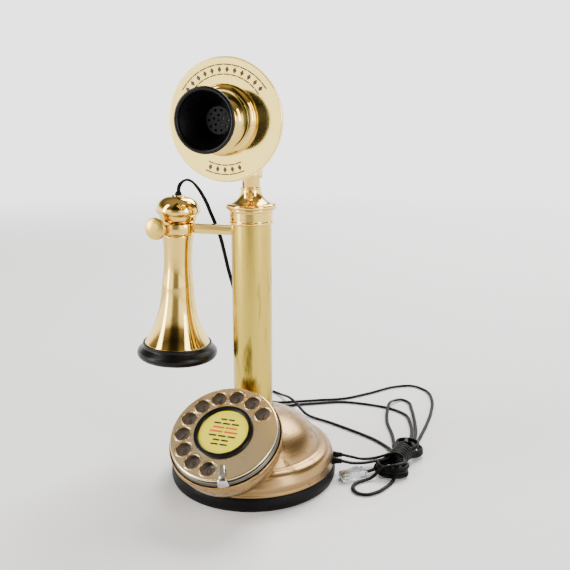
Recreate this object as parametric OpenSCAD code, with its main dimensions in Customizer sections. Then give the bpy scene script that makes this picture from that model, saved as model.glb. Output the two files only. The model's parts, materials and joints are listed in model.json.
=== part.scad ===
// Candlestick rotary telephone: a spun brass stand with a dial on its foot, a tilting
// transmitter on top and a receiver that hangs in a sprung fork at its side.
// Frame: +Z up, the front faces -Y, the receiver hangs at -X. The origin is the centre
// of the foot, on the surface that the telephone stands on.

/* [Base] */
// Radius of the black foot ring
foot_r = 67.5; // [62:0.5:82]
// Height of the black foot ring
foot_h = 11; // [9:0.5:13]
// Wall of the spun base shell
shell_wall = 2; // [1.2:0.1:2.5]
// Thickness of the steel bottom plate
plate_t = 1.5; // [1:0.1:2]
// Radius of the screws that hold the bottom plate
bottom_screw_r = 1.5; // [1.2:0.1:1.8]

/* [Column] */
// Outer radius of the column tube
column_r = 15.6; // [14:0.1:19]
// Wall of the column tube
column_wall = 1.2; // [0.8:0.1:1.6]
// Height of the collar's lower edge
collar_z = 207.5; // [185:0.5:250]
// Height of the collar
collar_h = 12; // [10:0.5:15]
// How far the collar stands out from the column
collar_step = 1.7; // [1.2:0.1:2.5]
// How far the cap's rim stands out from the column
cap_step = 4.1; // [3:0.1:6]
// Height of the conical cap above the collar
cap_h = 15.9; // [13:0.1:19]

/* [Transmitter] */
// Radius of the stem that carries the transmitter
stem_r = 6.9; // [6:0.1:7.5]
// Radius of the round block that the clevis is cut from
clevis_r = 9; // [8.5:0.1:10]
// Height of the tilt pivot above the cap
pivot_rise = 20.6; // [18:0.1:24]
// Height of the mouthpiece axis above the tilt pivot
head_rise = 29.5; // [27:0.5:34]
// Distance from the column axis to the back of the face plate
plate_y = 47.5; // [45:0.5:55]
// Radius of the face plate
face_r = 42.2; // [38:0.1:50]
// Thickness of the face plate
face_t = 2.5; // [2:0.1:3.5]
// Radius of the brass dome at its foot
dome_r = 24.3; // [22:0.1:26]
// Radius of the mouthpiece rim
mouth_r = 21.5; // [19:0.1:25]
// Distance from the face plate to the mouthpiece rim
mouth_reach = 34.3; // [30:0.1:40]

/* [Dial] */
// How far the dial centre lies inside the edge of the foot
dial_inset = 5.5; // [3:0.1:6.5]
// Height of the dial centre
dial_z = 61.3; // [60:0.1:65]
// Slope of the dial face from level, in degrees
dial_slope = 32.2; // [30:0.1:34]
// Radius of the finger wheel
wheel_r = 40.7; // [40:0.1:49]
// Thickness of the finger wheel
wheel_t = 1.6; // [1.2:0.1:2]
// Radius of each finger hole
hole_r = 6; // [5.2:0.1:6.3]
// Metal left between the finger holes and the edge of the wheel
hole_margin = 3.2; // [2.4:0.1:4]
// Angle between finger holes, in degrees
hole_step = 25.35; // [24:0.05:26]
// Angle of the first finger hole from +X, in degrees
hole_start = 39.4; // [36:0.1:42]
// Angle of the finger stop from +X, in degrees
stop_angle = -72; // [-75:0.5:-70]
// Metal left between the finger holes and the ring round the number card
ring_margin = 3; // [2:0.1:4]
// Width of the ring round the number card
card_rim = 3.7; // [3:0.1:5]

/* [Hook and receiver] */
// Distance from the column axis to the hanging receiver
hang_x = 62.6; // [60:0.1:70]
// Distance from the collar down to the middle of the hook arm
hook_drop = 5.5; // [5:0.1:12]
// Depth of the hook arm, top to bottom
arm_h = 7.4; // [6:0.1:8]
// Thickness of the hook arm
arm_t = 6; // [5:0.1:6.4]
// Thickness of each fork prong
prong_t = 4.2; // [3.5:0.1:5]
// Radius of the knob at the end of each prong
knob_r = 8.8; // [7:0.1:9.5]
// Radius of the receiver's waist, where the fork holds it
waist_r = 11.3; // [10:0.1:12]
// Clearance between the waist and the fork
waist_gap = 0.4; // [0.3:0.1:0.8]
// Radius of the receiver's top cap
rcap_r = 17.8; // [16.5:0.1:18.6]
// Radius of the brass horn at its mouth
horn_r = 26.8; // [25:0.1:29]
// Radius of the black ear ring
ear_r = 33; // [31:0.1:36]
// Length of the receiver below its waist
horn_len = 99.5; // [85:0.5:120]
// Lean of the hanging receiver, in degrees
lean = 2.4; // [0:0.1:3]

/* [Cords] */
// Width of the flat cords
cord_d = 3.2; // [2.6:0.1:3.4]

/* [Hidden] */

$fn = 64;
// clearance of a running fit, on the radius
run = 0.05;
// clearance between pieces that only pass each other
gap = 0.3;
// overlap that makes a cut go right through
eps = 0.01;
// length of a cut that nothing stands behind
cut = 100;
// shank of a small screw, its head and its clearance hole
screw_r = 1.2;
screw_head_r = 2.3;
screw_head_h = 1.6;
screw_play = 0.2;
// steps in one outline arc
arc_n = 9;

// points of an ellipse arc about [cr, cz], from angle a0 to a1
function arc_pts(cr, cz, rr, rz, a0, a1, n = arc_n) =
  [for (i = [0:n]) let (a = a0 + (a1 - a0) * i / n) [cr + rr * cos(a), cz + rz * sin(a)]];

// ---- places that follow from the sizes above ----
dial_y = foot_r - dial_inset;
hook_z = collar_z - hook_drop;
// the circle that the finger holes lie on
hole_pitch_r = wheel_r - hole_margin - hole_r;
// the number card and the ring round it
card_ring_r = hole_pitch_r - hole_r - ring_margin;
card_r = card_ring_r - card_rim;

// ---- base ----
// radius of the brass band above the foot ring
band_r = foot_r - 1.5;
// height of the bead's widest line
bead_z = foot_h + 8.5;
// radius and height of the groove between bead and bell
groove_r = foot_r - 13.2;
groove_z = foot_h + 17.5;
// the bell is a quarter of an ellipse about [bell_cr, bell_cz]
bell_cr = column_r + 0.4;
bell_cz = foot_h + 8;
bell_rr = groove_r + 2 - bell_cr;
bell_rz = 33.5;
// where the bell turns up into the column's foot
neck_angle = 76;
neck_r = column_r + 1.6;
base_top = bell_cz + bell_rz + 5.5;
groove_angle = acos((groove_r - bell_cr) / bell_rr);

// outer outline of the shell, from the foot ring up to the column
function shell_outer(in = 0) = concat(
  [[band_r - in, foot_h - (in > 0 ? eps : 0)], [band_r - 0.8 - in, bead_z - in / 2]],
  arc_pts(groove_r + 3.4, bead_z, band_r - groove_r - 4.4 - in, groove_z - bead_z - 1.2 - in, 20, 86, 4),
  [[groove_r + 1 - in, groove_z - 0.4 - in]],
  arc_pts(bell_cr, bell_cz, bell_rr - in, bell_rz - in, groove_angle, neck_angle),
  in > 0 ? [] : [[neck_r + 2.2, base_top - 3.2], [neck_r + 0.5, base_top - 1.2], [neck_r, base_top]]
);
inner_top = bell_cz + (bell_rz - shell_wall) * sin(neck_angle);

// the base as a solid, used to trim what stands on it
module base_solid() {
  rotate_extrude() polygon(concat([[0, foot_h]], shell_outer(), [[0, base_top]]));
}

gland_angles = [9, 18];
gland_z = foot_h + 3.6;
gland_r = 2.4;
gland_flange_r = 3.1;
gland_flange_t = 1.3;
gland_len = 6;
gland_grip = 3;
gland_cut = 8;
column_seat = 5;
wire_cut = 20;

module at_gland(a) {
  translate([0, 0, gland_z]) rotate([0, 0, a]) rotate([0, 90, 0]) children();
}

module base_shell() {
  color("#d9b36a") difference() {
    base_solid();
    rotate_extrude() polygon(concat(
      [[0, foot_h - eps]], shell_outer(shell_wall), [[0, inner_top]]));
    translate([0, 0, inner_top - column_seat]) cylinder(r = column_r + run, h = base_top);
    on_dial() translate([0, 0, -dial_depth - wire_cut]) cylinder(r = wire_hole_r, h = wire_cut + eps);
    for (a = gland_angles) at_gland(a)
      translate([0, 0, band_r - gland_cut]) cylinder(r = gland_r + run, h = 2 * gland_cut);
  }
}

// the ring grips the shell's edge, and is rounded outside
foot_grip = 2;
foot_round = 1.5;
foot_edge = 0.6;
foot_in_r = band_r - shell_wall - foot_grip;
// how far the ring laps the bottom plate, and the plate's play in it
plate_lap = 1;
plate_play = 0.1;
felt_t = 1;
post_xy = [[-30, 22], [30, 22], [-30, 50], [30, 50]];
screw_edge = 6;
screw_ring_r = foot_in_r - screw_edge;
screw_angles = [45, 135, 225, 315];

module foot_ring() {
  color("#1c1a18") difference() {
    rotate_extrude() polygon(concat(
      [[foot_in_r, 0], [foot_r - foot_round, 0]],
      arc_pts(foot_r - foot_round, foot_h / 2, foot_round, foot_h / 2 - foot_edge, -60, 60, 6),
      [[foot_r - foot_round, foot_h], [foot_in_r, foot_h]]));
    translate([0, 0, -eps]) cylinder(r = foot_in_r + plate_lap, h = felt_t + plate_t + 2 * eps);
  }
}

module bottom_plate() {
  color("#9a9a98") difference() {
    translate([0, 0, felt_t]) cylinder(r = foot_in_r + plate_lap - plate_play, h = plate_t);
    for (a = screw_angles) rotate([0, 0, a]) translate([screw_ring_r, 0, 0])
      cylinder(r = bottom_screw_r + screw_play, h = cut);
  }
}

module felt_pad() {
  color("#2b3a2c") difference() {
    cylinder(r = foot_in_r + plate_lap - plate_play, h = felt_t);
    for (a = screw_angles) rotate([0, 0, a]) translate([screw_ring_r, 0, -eps])
      cylinder(r = 2 * (bottom_screw_r + screw_play), h = felt_t + 2 * eps);
  }
}

bottom_screw_h = 8;
screw_sink = 0.2;
module bottom_screws() {
  color("#b9b9b5") for (a = screw_angles) rotate([0, 0, a]) translate([screw_ring_r, 0, 0]) {
    translate([0, 0, screw_sink]) cylinder(r = 2 * bottom_screw_r, h = felt_t - screw_sink);
    translate([0, 0, felt_t - eps]) cylinder(r = bottom_screw_r, h = bottom_screw_h);
  }
}

ballast_z = felt_t + plate_t;
ballast_h = 9;
ballast_play = 1;
ballast_bore_r = 20;
// the ballast is cut down to a thin floor under the circuit board
ballast_floor = 2;
ballast_cut = [84, 60];
ballast_cut_y = 14;
module ballast() {
  color("#4a4a4a") difference() {
    translate([0, 0, ballast_z]) cylinder(r = foot_in_r - ballast_play, h = ballast_h);
    translate([0, 0, ballast_z - eps]) cylinder(r = ballast_bore_r, h = ballast_h + 2 * eps);
    translate([-ballast_cut[0] / 2, ballast_cut_y, ballast_z + ballast_floor])
      cube([ballast_cut[0], ballast_cut[1], ballast_h]);
    for (a = screw_angles) rotate([0, 0, a]) translate([screw_ring_r, 0, 0])
      cylinder(r = bottom_screw_r + run, h = cut);
  }
}

board_z = 16;
board_t = 1.6;
board_w = 68;
board_d = 34;
board_y = 19;
// what stands on the board: each piece's corner and size
chip_at = [-20, 8];
chip_size = [18, 7, 3.2];
relay_at = [6, 6];
relay_size = [9, 9, 4];
can_at = [-24, 25];
can_r = 2.4;
can_h = 6;
can_pitch = 7;
cans = 4;
// posts that carry the board
peg_r = 1.3;
post_r = 2.6;
post_nut_r = 2.4;
post_nut_h = 1.6;
module circuit_board() {
  color("#2d6b3c") difference() {
    translate([-board_w / 2, board_y, board_z]) cube([board_w, board_d, board_t]);
    for (p = post_xy) translate([p[0], p[1], 0]) cylinder(r = peg_r, h = cut);
  }
  color("#33302c") translate([0, board_y, board_z + board_t]) {
    translate([chip_at[0], chip_at[1], 0]) cube(chip_size);
    translate([relay_at[0], relay_at[1], 0]) cube(relay_size);
    for (i = [0:cans - 1]) translate([can_at[0] + can_pitch * i, can_at[1], 0])
      cylinder(r = can_r, h = can_h);
  }
}

module board_posts() {
  color("#c8c8c4") for (p = post_xy) translate([p[0], p[1], 0]) {
    translate([0, 0, ballast_z + ballast_floor])
      cylinder(r = post_r, h = board_z - ballast_z - ballast_floor);
    translate([0, 0, board_z - eps]) cylinder(r = peg_r - run, h = board_t + 2 * eps);
    translate([0, 0, board_z + board_t]) cylinder(r = post_nut_r, h = post_nut_h);
  }
}

ringer_at = [-38, -10];
ringer_r = 13;
ringer_h = 7;
ringer_port_r = 3;
ringer_port_h = 2;
module ringer() {
  color("#202020") translate([ringer_at[0], ringer_at[1], ballast_z + ballast_h]) difference() {
    cylinder(r = ringer_r, h = ringer_h);
    translate([0, 0, ringer_h - ringer_port_h]) cylinder(r = ringer_port_r, h = ringer_port_h + eps);
  }
}

terminal_at = [26, -16];
terminal_size = [12, 22, 8];
terminals = 4;
terminal_first = 3.2;
terminal_pitch = 5.2;
terminal_r = 1.6;
terminal_floor = 3;

module terminal_block() {
  color("#e8e4d8") translate([terminal_at[0], terminal_at[1], ballast_z + ballast_h]) difference() {
    cube(terminal_size);
    for (i = [0:terminals - 1])
      translate([terminal_size[0] / 2, terminal_first + terminal_pitch * i, terminal_floor])
        cylinder(r = terminal_r, h = terminal_size[2]);
  }
}

// ---- column ----
column_in_r = column_r - column_wall;
// how far the tube hangs inside the base, for its nut
column_tail = 8;
column_foot = inner_top - column_tail;
column_top = collar_z + collar_h;
// room for the arm below it, and above it for its lift
slot_below = 0.6;
slot_above = 2.6;
arm_slot_h = arm_h + slot_below + slot_above;
cap_z = column_top;
cap_rim_h = 3.9;
cap_top = cap_z + cap_h;
wire_r = 3.4;

module column_tube() {
  color("#cbb57a") difference() {
    translate([0, 0, column_foot]) cylinder(r = column_r, h = column_top - column_foot);
    translate([0, 0, column_foot - eps]) cylinder(r = column_in_r, h = column_top);
    translate([-column_r - eps, -arm_t / 2 - gap, hook_z - arm_h / 2 - slot_below])
      cube([column_r + eps - clevis_r, arm_t + 2 * gap, arm_slot_h]);
  }
}

nut_h = 5;
nut_grip = 6;
module column_nut() {
  color("#b08d4c") translate([0, 0, column_foot]) difference() {
    cylinder(r = column_r + nut_grip, h = nut_h, $fn = 6);
    translate([0, 0, -eps]) cylinder(r = column_r + run, h = nut_h + 2 * eps);
  }
}

collar_bevel = [0.5, 0.8];
module column_collar() {
  color("#e0bd74") rotate_extrude() polygon([
    [column_r + run, collar_z], [column_r + collar_step - collar_bevel[0], collar_z],
    [column_r + collar_step, collar_z + collar_bevel[1]], [column_r + collar_step, column_top],
    [column_r + run, column_top]]);
}

spigot_len = 6;
cap_bevel = 0.7;
cap_lip = 1.2;
cap_neck_h = 1;
module column_cap() {
  rim = column_r + cap_step;
  hollow = rim - cap_lip;
  neck = stem_r + cap_bevel;
  color("#e0bd74") rotate_extrude() polygon(concat(
    [[wire_r, cap_z - spigot_len], [column_in_r - run, cap_z - spigot_len], [column_in_r - run, cap_z],
     [rim - cap_bevel, cap_z], [rim, cap_z + cap_bevel], [rim, cap_z + cap_rim_h - cap_bevel],
     [rim - cap_bevel, cap_z + cap_rim_h]],
    [for (i = [1:arc_n]) let (a = 90 * i / arc_n)
      [hollow - (hollow - neck) * sin(a),
       cap_z + cap_rim_h + (cap_h - cap_rim_h - cap_neck_h) * (1 - cos(a))]],
    [[neck, cap_top], [wire_r, cap_top]]));
}

pivot_z = cap_top + pivot_rise;
ear_gap = 8.2;
ear_face = 7.2;
ear_w = 11.2;
pin_r = 2.5;
stem_len = 7.4;
clevis_z = cap_top + stem_len;
// the slot's floor below the pivot, and the ears' tops above it
slot_drop = 8;
ear_rise = 6.5;
slot_z = pivot_z - slot_drop;
clevis_top = pivot_z + ear_rise;
stem_bore_h = 4;
module stem_clevis() {
  color("#d9b36a") difference() {
    union() {
      translate([0, 0, cap_top]) cylinder(r = stem_r, h = clevis_z - cap_top + eps);
      intersection() {
        translate([0, 0, clevis_z]) cylinder(r = clevis_r, h = clevis_top - clevis_z);
        union() {
          translate([-clevis_r, -clevis_r, clevis_z]) cube([2 * clevis_r, 2 * clevis_r, slot_z - clevis_z]);
          translate([-ear_face, -ear_w / 2, clevis_z]) cube([2 * ear_face, ear_w, clevis_top - clevis_z]);
        }
      }
    }
    translate([0, 0, cap_top - eps]) cylinder(r = wire_r, h = stem_bore_h);
    translate([-ear_gap / 2, -clevis_r, slot_z]) cube([ear_gap, 2 * clevis_r, clevis_top]);
    translate([-clevis_r, 0, pivot_z]) rotate([0, 90, 0]) cylinder(r = pin_r + run, h = 2 * clevis_r);
  }
}

bolt_head_r = 4.6;
bolt_head_h = 3.2;
// how far the bolt's end stands out of its nut
bolt_tail = 0.4;
module tilt_bolt() {
  color("#d9b36a") translate([0, 0, pivot_z]) rotate([0, 90, 0]) {
    translate([0, 0, -ear_face - bolt_head_h - bolt_tail])
      cylinder(r = pin_r, h = 2 * ear_face + bolt_head_h + bolt_tail + eps);
    translate([0, 0, ear_face]) cylinder(r = bolt_head_r, h = bolt_head_h);
  }
}

module tilt_nut() {
  color("#d9b36a") translate([-ear_face - bolt_head_h, 0, pivot_z]) rotate([0, 90, 0]) difference() {
    cylinder(r = bolt_head_r, h = bolt_head_h, $fn = 6);
    translate([0, 0, -eps]) cylinder(r = pin_r + run, h = bolt_head_h + 2 * eps);
  }
}

// ---- transmitter head, built about its own axis: +Z forward, +Y up ----
module on_head() {
  translate([0, 0, pivot_z + head_rise]) rotate([90, 0, 0]) children();
}

cup_back = 16;
cup_wall = 1.5;
cup_r = 33;
cup_round = 16;
cup_flange = 5.4;
cup_flange_t = 3;
cup_flange_r = cup_r + cup_flange;
// the lug: its eye, and where it runs into the cup's back
lug_r = 6.2;
lug_root = cup_back + 9;
lug_root_low = -1;
lug_root_high = 14;
lug_crown = [cup_back - 1, 16];
lug_throat = [3, 5.4];
lug_play = 0.6;
lug_t = ear_gap - lug_play;
cup_screw_pitch_r = cup_r + cup_flange / 2;
cup_screw_h = 4.6;
cup_screw_depth = 1.4;
cup_screw_angles = [90, 210, 330];

function cup_line(in = 0) = concat(
  [[0, cup_back + in]],
  arc_pts(0, cup_back + cup_round, cup_r - in, cup_round - in, -68, 0, 7),
  [[cup_r - in, plate_y - cup_flange_t]]);

module transmitter_cup() {
  color("#d9b36a") on_head() difference() {
    union() {
      rotate_extrude() polygon(concat(cup_line(),
        [[cup_flange_r, plate_y - cup_flange_t], [cup_flange_r, plate_y], [0, plate_y]]));
      translate([-lug_t / 2, -head_rise, 0]) rotate([0, 90, 0]) linear_extrude(lug_t) union() {
        circle(r = lug_r);
        polygon([[0, -lug_r], [-lug_root, lug_root_low], [-lug_root, lug_root_high],
          [-lug_crown[0], lug_crown[1]], [-lug_throat[0], lug_throat[1]]]);
      }
    }
    rotate_extrude() polygon(concat(cup_line(cup_wall),
      [[cup_r - cup_wall, plate_y + eps], [0, plate_y + eps]]));
    translate([-lug_t, -head_rise, 0]) rotate([0, 90, 0]) cylinder(r = pin_r + run, h = 2 * lug_t);
    for (a = cup_screw_angles)
      rotate([0, 0, a]) translate([cup_screw_pitch_r, 0, plate_y - cup_flange_t - eps])
        cylinder(r = screw_r + run, h = cup_flange_t + 2 * eps);
  }
}

plate_hole_r = 14;
plate_bevel = 0.6;
module face_plate() {
  color("#e3c27c") on_head() difference() {
    rotate_extrude() polygon([
      [plate_hole_r, plate_y], [face_r - plate_bevel, plate_y], [face_r, plate_y + plate_bevel],
      [face_r, plate_y + face_t - plate_bevel], [face_r - plate_bevel, plate_y + face_t],
      [plate_hole_r, plate_y + face_t]]);
    for (a = cup_screw_angles) rotate([0, 0, a]) translate([cup_screw_pitch_r, 0, plate_y - eps])
      cylinder(r = screw_r + run, h = cup_screw_depth + screw_play);
  }
}

dome_neck_r = 12.6;
dome_h = 15;
face_front = plate_y + face_t;
dome_wall = 1.4;
// the dome's straight foot, its round shoulder and where its hollow cone begins
dome_foot_h = 1.2;
dome_shoulder = [4.6, 5.2];
dome_cone_z = 6.4;
dome_in_z = 10;
module transmitter_dome() {
  shoulder = dome_r - dome_shoulder[0];
  color("#dcb96f") on_head() rotate_extrude() polygon(concat(
    [[dome_r - dome_wall, face_front], [dome_r, face_front], [dome_r, face_front + dome_foot_h]],
    arc_pts(shoulder, face_front + dome_foot_h, dome_shoulder[0], dome_shoulder[1], 12, 70, 4),
    [for (i = [0:5]) let (a = 90 * i / 5)
      [shoulder - (shoulder - dome_neck_r) * sin(a),
       face_front + dome_cone_z + (dome_h - dome_cone_z) * (1 - cos(a))]],
    [[dome_neck_r - dome_wall, face_front + dome_h], [dome_neck_r - dome_wall, face_front + dome_in_z],
     [shoulder - 2 * dome_wall, face_front + dome_shoulder[0]],
     [dome_r - dome_wall, face_front + dome_foot_h]]));
}

mouth_front = face_front + mouth_reach;
mouth_neck_r = dome_neck_r - dome_wall - run;
// the trumpet: its shoulder on the dome, its rim and how late it flares
mouth_foot_r = dome_neck_r + 0.2;
mouth_rim = 1.3;
mouth_wall = 1.5;
mouth_flare = 1.25;
mouth_steps = 5;
grille_r = 9.2;
grille_floor = face_front + 8;
grille_t = 1.8;
grille_hole_r = 0.8;
// rings of holes: how many, their circle and the angle of the first
grille_rings = [[1, 0, 0], [5, 3.4, 18], [10, 6.9, 0]];
module mouthpiece() {
  color("#1b1a1a") on_head() difference() {
    rotate_extrude() polygon(concat(
      [[0, grille_floor], [mouth_neck_r, grille_floor], [mouth_neck_r, face_front + dome_h],
       [mouth_foot_r, face_front + dome_h]],
      [for (i = [1:mouth_steps]) let (t = i / mouth_steps)
        [mouth_foot_r + (mouth_r - mouth_foot_r) * pow(t, mouth_flare),
         face_front + dome_h + (mouth_reach - dome_h - mouth_rim - gap) * t]],
      arc_pts(mouth_r - mouth_rim, mouth_front - mouth_rim, mouth_rim, mouth_rim, 0, 180, 5),
      [for (i = [mouth_steps:-1:1]) let (t = i / mouth_steps)
        [grille_r + (mouth_r - mouth_rim - mouth_wall - grille_r) * pow(t, mouth_flare),
         grille_floor + grille_t + (mouth_front - grille_floor - grille_t - mouth_wall) * t]],
      [[grille_r, grille_floor + grille_t], [0, grille_floor + grille_t]]));
    for (ring = grille_rings, i = [0:ring[0] - 1]) rotate([0, 0, 360 * i / ring[0] + ring[2]])
      translate([ring[1], 0, grille_floor - eps]) cylinder(r = grille_hole_r, h = grille_t + 2 * eps);
  }
}

capsule_r = 22;
capsule_h = 12.6;
capsule_gap = 0.4;
button_r = 8;
button_h = 3;
module carbon_capsule() {
  color("#8d8d88") on_head() {
    translate([0, 0, plate_y - capsule_gap - capsule_h]) cylinder(r = capsule_r, h = capsule_h);
    translate([0, 0, plate_y - capsule_gap - capsule_h - button_h])
      cylinder(r = button_r, h = button_h + eps);
  }
}

module cup_screws() {
  color("#c8c8c4") on_head() for (a = cup_screw_angles) rotate([0, 0, a])
    translate([cup_screw_pitch_r, 0, 0]) {
      translate([0, 0, plate_y - cup_flange_t - screw_head_h])
        cylinder(r = screw_head_r, h = screw_head_h);
      translate([0, 0, plate_y - cup_flange_t - eps])
        cylinder(r = screw_r, h = cup_flange_t + cup_screw_depth);
    }
}

// ---- dial, built about its own axis: +Z out of the wheel's face ----
module on_dial() {
  translate([0, -dial_y, dial_z]) rotate([dial_slope, 0, 0]) children();
}

wheel_gap = 1.2;
frame_top = -wheel_t - wheel_gap;
frame_floor = -6.2;
frame_t = 1.4;
frame_wall = 1.9;
frame_bevel = 0.4;
frame_r = wheel_r + 0.7;
cup_mouth_r = wheel_r + 2.3;
// the cup's seat for the frame, and the bowl below it
seat_w = 3.3;
bowl_lip = [1, 3];
bowl_draw = 19;
bowl_angle = 78;
dial_depth = 27;
bowl_h = dial_depth - frame_floor - 5;
dial_wall = 1.8;
wire_hole_r = 12;
shaft_r = 3;

// outline of the dial's cup: a bowl that narrows towards the base
function bowl(in = 0) = concat(
  [[cup_mouth_r - in, frame_floor]],
  [for (i = [1:5]) let (a = bowl_angle * i / 5)
    [cup_mouth_r - bowl_lip[0] - in - bowl_draw * (1 - cos(a)),
     frame_floor - bowl_lip[1] - (bowl_h - in) * sin(a)]]);
bowl_low = frame_floor - bowl_lip[1] - bowl_h * sin(bowl_angle);

module dial_cup() {
  color("#d9b36a") difference() {
    on_dial() difference() {
      rotate_extrude() polygon(concat(bowl(), [[0, bowl_low], [0, frame_floor]]));
      rotate_extrude() polygon(concat([[0, frame_floor + eps], [cup_mouth_r - seat_w, frame_floor + eps],
        [cup_mouth_r - seat_w, frame_floor - bowl_lip[0]]],
        [for (p = bowl(dial_wall)) if (p[1] < frame_floor) p], [[0, bowl_low + dial_wall]]));
      translate([0, 0, bowl_low - eps]) cylinder(r = wire_hole_r, h = 2 * dial_wall);
    }
    base_solid();
    translate([0, 0, base_top - eps]) cylinder(r = column_r + gap, h = cut);
  }
}

post_angles = [30, 150, 270];
post_ring_r = 25.5;
module dial_frame() {
  color("#c9c6bf") on_dial() difference() {
    rotate_extrude() polygon([
      [shaft_r + run, frame_floor], [frame_r, frame_floor], [frame_r, frame_top - frame_bevel],
      [frame_r - frame_bevel, frame_top], [frame_r - frame_wall, frame_top],
      [frame_r - frame_wall, frame_floor + frame_t], [shaft_r + run, frame_floor + frame_t]]);
    for (a = post_angles) rotate([0, 0, a]) translate([post_ring_r, 0, frame_floor - eps])
      cylinder(r = screw_r, h = frame_t + 2 * eps);
  }
}

number_plate_t = 0.8;
number_plate_hole = 4;
module number_plate() {
  color("#8f8b84") on_dial() translate([0, 0, frame_floor + frame_t]) difference() {
    cylinder(r = frame_r - frame_wall - screw_play, h = number_plate_t);
    translate([0, 0, -eps]) cylinder(r = shaft_r + number_plate_hole, h = number_plate_t + 2 * eps);
    for (a = post_angles) rotate([0, 0, a]) translate([post_ring_r, 0, -eps])
      cylinder(r = screw_head_r + screw_play, h = number_plate_t + 2 * eps);
  }
}

// the finger stop: a foot outside the frame, and a tab that reaches in over the wheel
stop_lift = 0.7;
stop_t = 1.2;
stop_w = 3.8;
stop_foot_w = 6.4;
stop_foot_t = 1.4;
stop_reach = 12.5;
module finger_stop() {
  color("#b7b7ba") on_dial() rotate([0, 0, stop_angle]) difference() {
    union() {
      translate([frame_r - stop_t, -stop_foot_w / 2, frame_floor + bowl_lip[0]])
        cube([stop_t + stop_foot_t, stop_foot_w, stop_lift - frame_floor]);
      translate([wheel_r - stop_reach, -stop_w / 2, stop_lift])
        cube([frame_r + stop_foot_t - wheel_r + stop_reach, stop_w, stop_t]);
      translate([wheel_r - stop_reach, 0, stop_lift]) cylinder(r = stop_w / 2, h = stop_t);
    }
    translate([0, 0, frame_floor]) cylinder(r = frame_r + run, h = stop_lift - frame_floor - eps);
  }
}

dial_head_h = 1;
dial_screw_h = 3;
module dial_screws() {
  color("#c8c8c4") on_dial() for (a = post_angles) rotate([0, 0, a]) translate([post_ring_r, 0, 0]) {
    translate([0, 0, frame_floor + frame_t]) cylinder(r = screw_head_r, h = dial_head_h);
    translate([0, 0, frame_floor - dial_screw_h])
      cylinder(r = screw_r - run, h = frame_t + dial_screw_h + eps);
  }
}

mech_z = -20;
mech_t = 1.2;
mech_r = 28.6;
pinion_teeth = 15;
gear_teeth = 60;
tooth_m = 0.625;
pinion_x = -tooth_m * (gear_teeth + pinion_teeth) / 2;
gear_z = -10.6;
gear_t = 1.5;
wormwheel_z = -15.9;
wormwheel_t = 2.4;
wormwheel_r = 5.2;
governor_x = 7.6;
governor_r = 3;
governor_wall = 0.8;
governor_shaft_r = 0.8;
pinion_shaft_r = 1;
mech_post_r = 2;

module mechanism_plate() {
  color("#b9b9b5") on_dial() difference() {
    translate([0, 0, mech_z]) cylinder(r = mech_r, h = mech_t);
    translate([0, 0, mech_z - eps]) {
      cylinder(r = shaft_r + run, h = mech_t + 2 * eps);
      translate([pinion_x, 0, 0]) cylinder(r = pinion_shaft_r + run, h = mech_t + 2 * eps);
      for (a = post_angles) rotate([0, 0, a]) translate([post_ring_r, 0, 0])
        cylinder(r = screw_r, h = mech_t + 2 * eps);
    }
  }
}

module mechanism_posts() {
  color("#c8c8c4") on_dial() for (a = post_angles) rotate([0, 0, a]) translate([post_ring_r, 0, 0])
    difference() {
      translate([0, 0, mech_z + mech_t]) cylinder(r = mech_post_r, h = frame_floor - mech_z - mech_t);
      translate([0, 0, frame_floor - dial_screw_h - screw_play]) cylinder(r = screw_r, h = cut);
    }
}

spring_turns = 3;
spring_out_r = 9;
spring_in_r = shaft_r + 0.6;
spring_t = 0.5;
spring_w = 4;
spring_z = -17.5;
module main_spring() {
  n = 20 * spring_turns;
  step = 360 * spring_turns / n;
  pitch = (spring_out_r - spring_in_r - spring_t) / n;
  color("#6f7378") on_dial() translate([0, 0, spring_z]) linear_extrude(spring_w)
    polygon(concat(
      [for (i = [0:n]) (spring_in_r + pitch * i) * [cos(step * i), sin(step * i)]],
      [for (i = [n:-1:0]) (spring_in_r + spring_t + pitch * i) * [cos(step * i), sin(step * i)]]));
}

cam_r = 11;
cam_z = -8.6;
// two leaf springs beside the cam, on their block
leaf_size = [0.5, 22, 1.1];
leaf_y = -16;
leaf_gap = 1.1;
leaf_x = cam_r + 1.4;
leaf_z = cam_z + 0.5;
leaf_block = [3.2, 18, 1.8];
leaf_block_at = [cam_r + 3, -7, cam_z + 0.1];
leaf_bridge = [3, 2, 1.1];
leaf_bridge_y = -10;
module pulse_contacts() {
  color("#d8c07a") on_dial() {
    translate(leaf_block_at) cube(leaf_block);
    for (i = [0, 1]) translate([leaf_x + leaf_gap * i, leaf_y, leaf_z]) cube(leaf_size);
    translate([leaf_x, leaf_bridge_y, leaf_z]) cube(leaf_bridge);
  }
}

governor_cup_y = 12;
governor_cup_h = 6;
governor_floor_t = 1;
governor_bracket_w = 3.2;
module governor_cup() {
  color("#b08d4c") on_dial() translate([pinion_x + governor_x, governor_cup_y, wormwheel_z + wormwheel_t / 2])
    rotate([-90, 0, 0]) difference() {
      union() {
        cylinder(r = governor_r + governor_wall, h = governor_cup_h);
        translate([-governor_bracket_w / 2, 0, 0])
          cube([governor_bracket_w, wormwheel_z + wormwheel_t / 2 - mech_z - mech_t, governor_cup_h]);
      }
      translate([0, 0, -eps]) cylinder(r = governor_r + gap, h = governor_cup_h - governor_floor_t);
      cylinder(r = governor_shaft_r + run, h = governor_cup_h + eps);
    }
}

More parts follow.
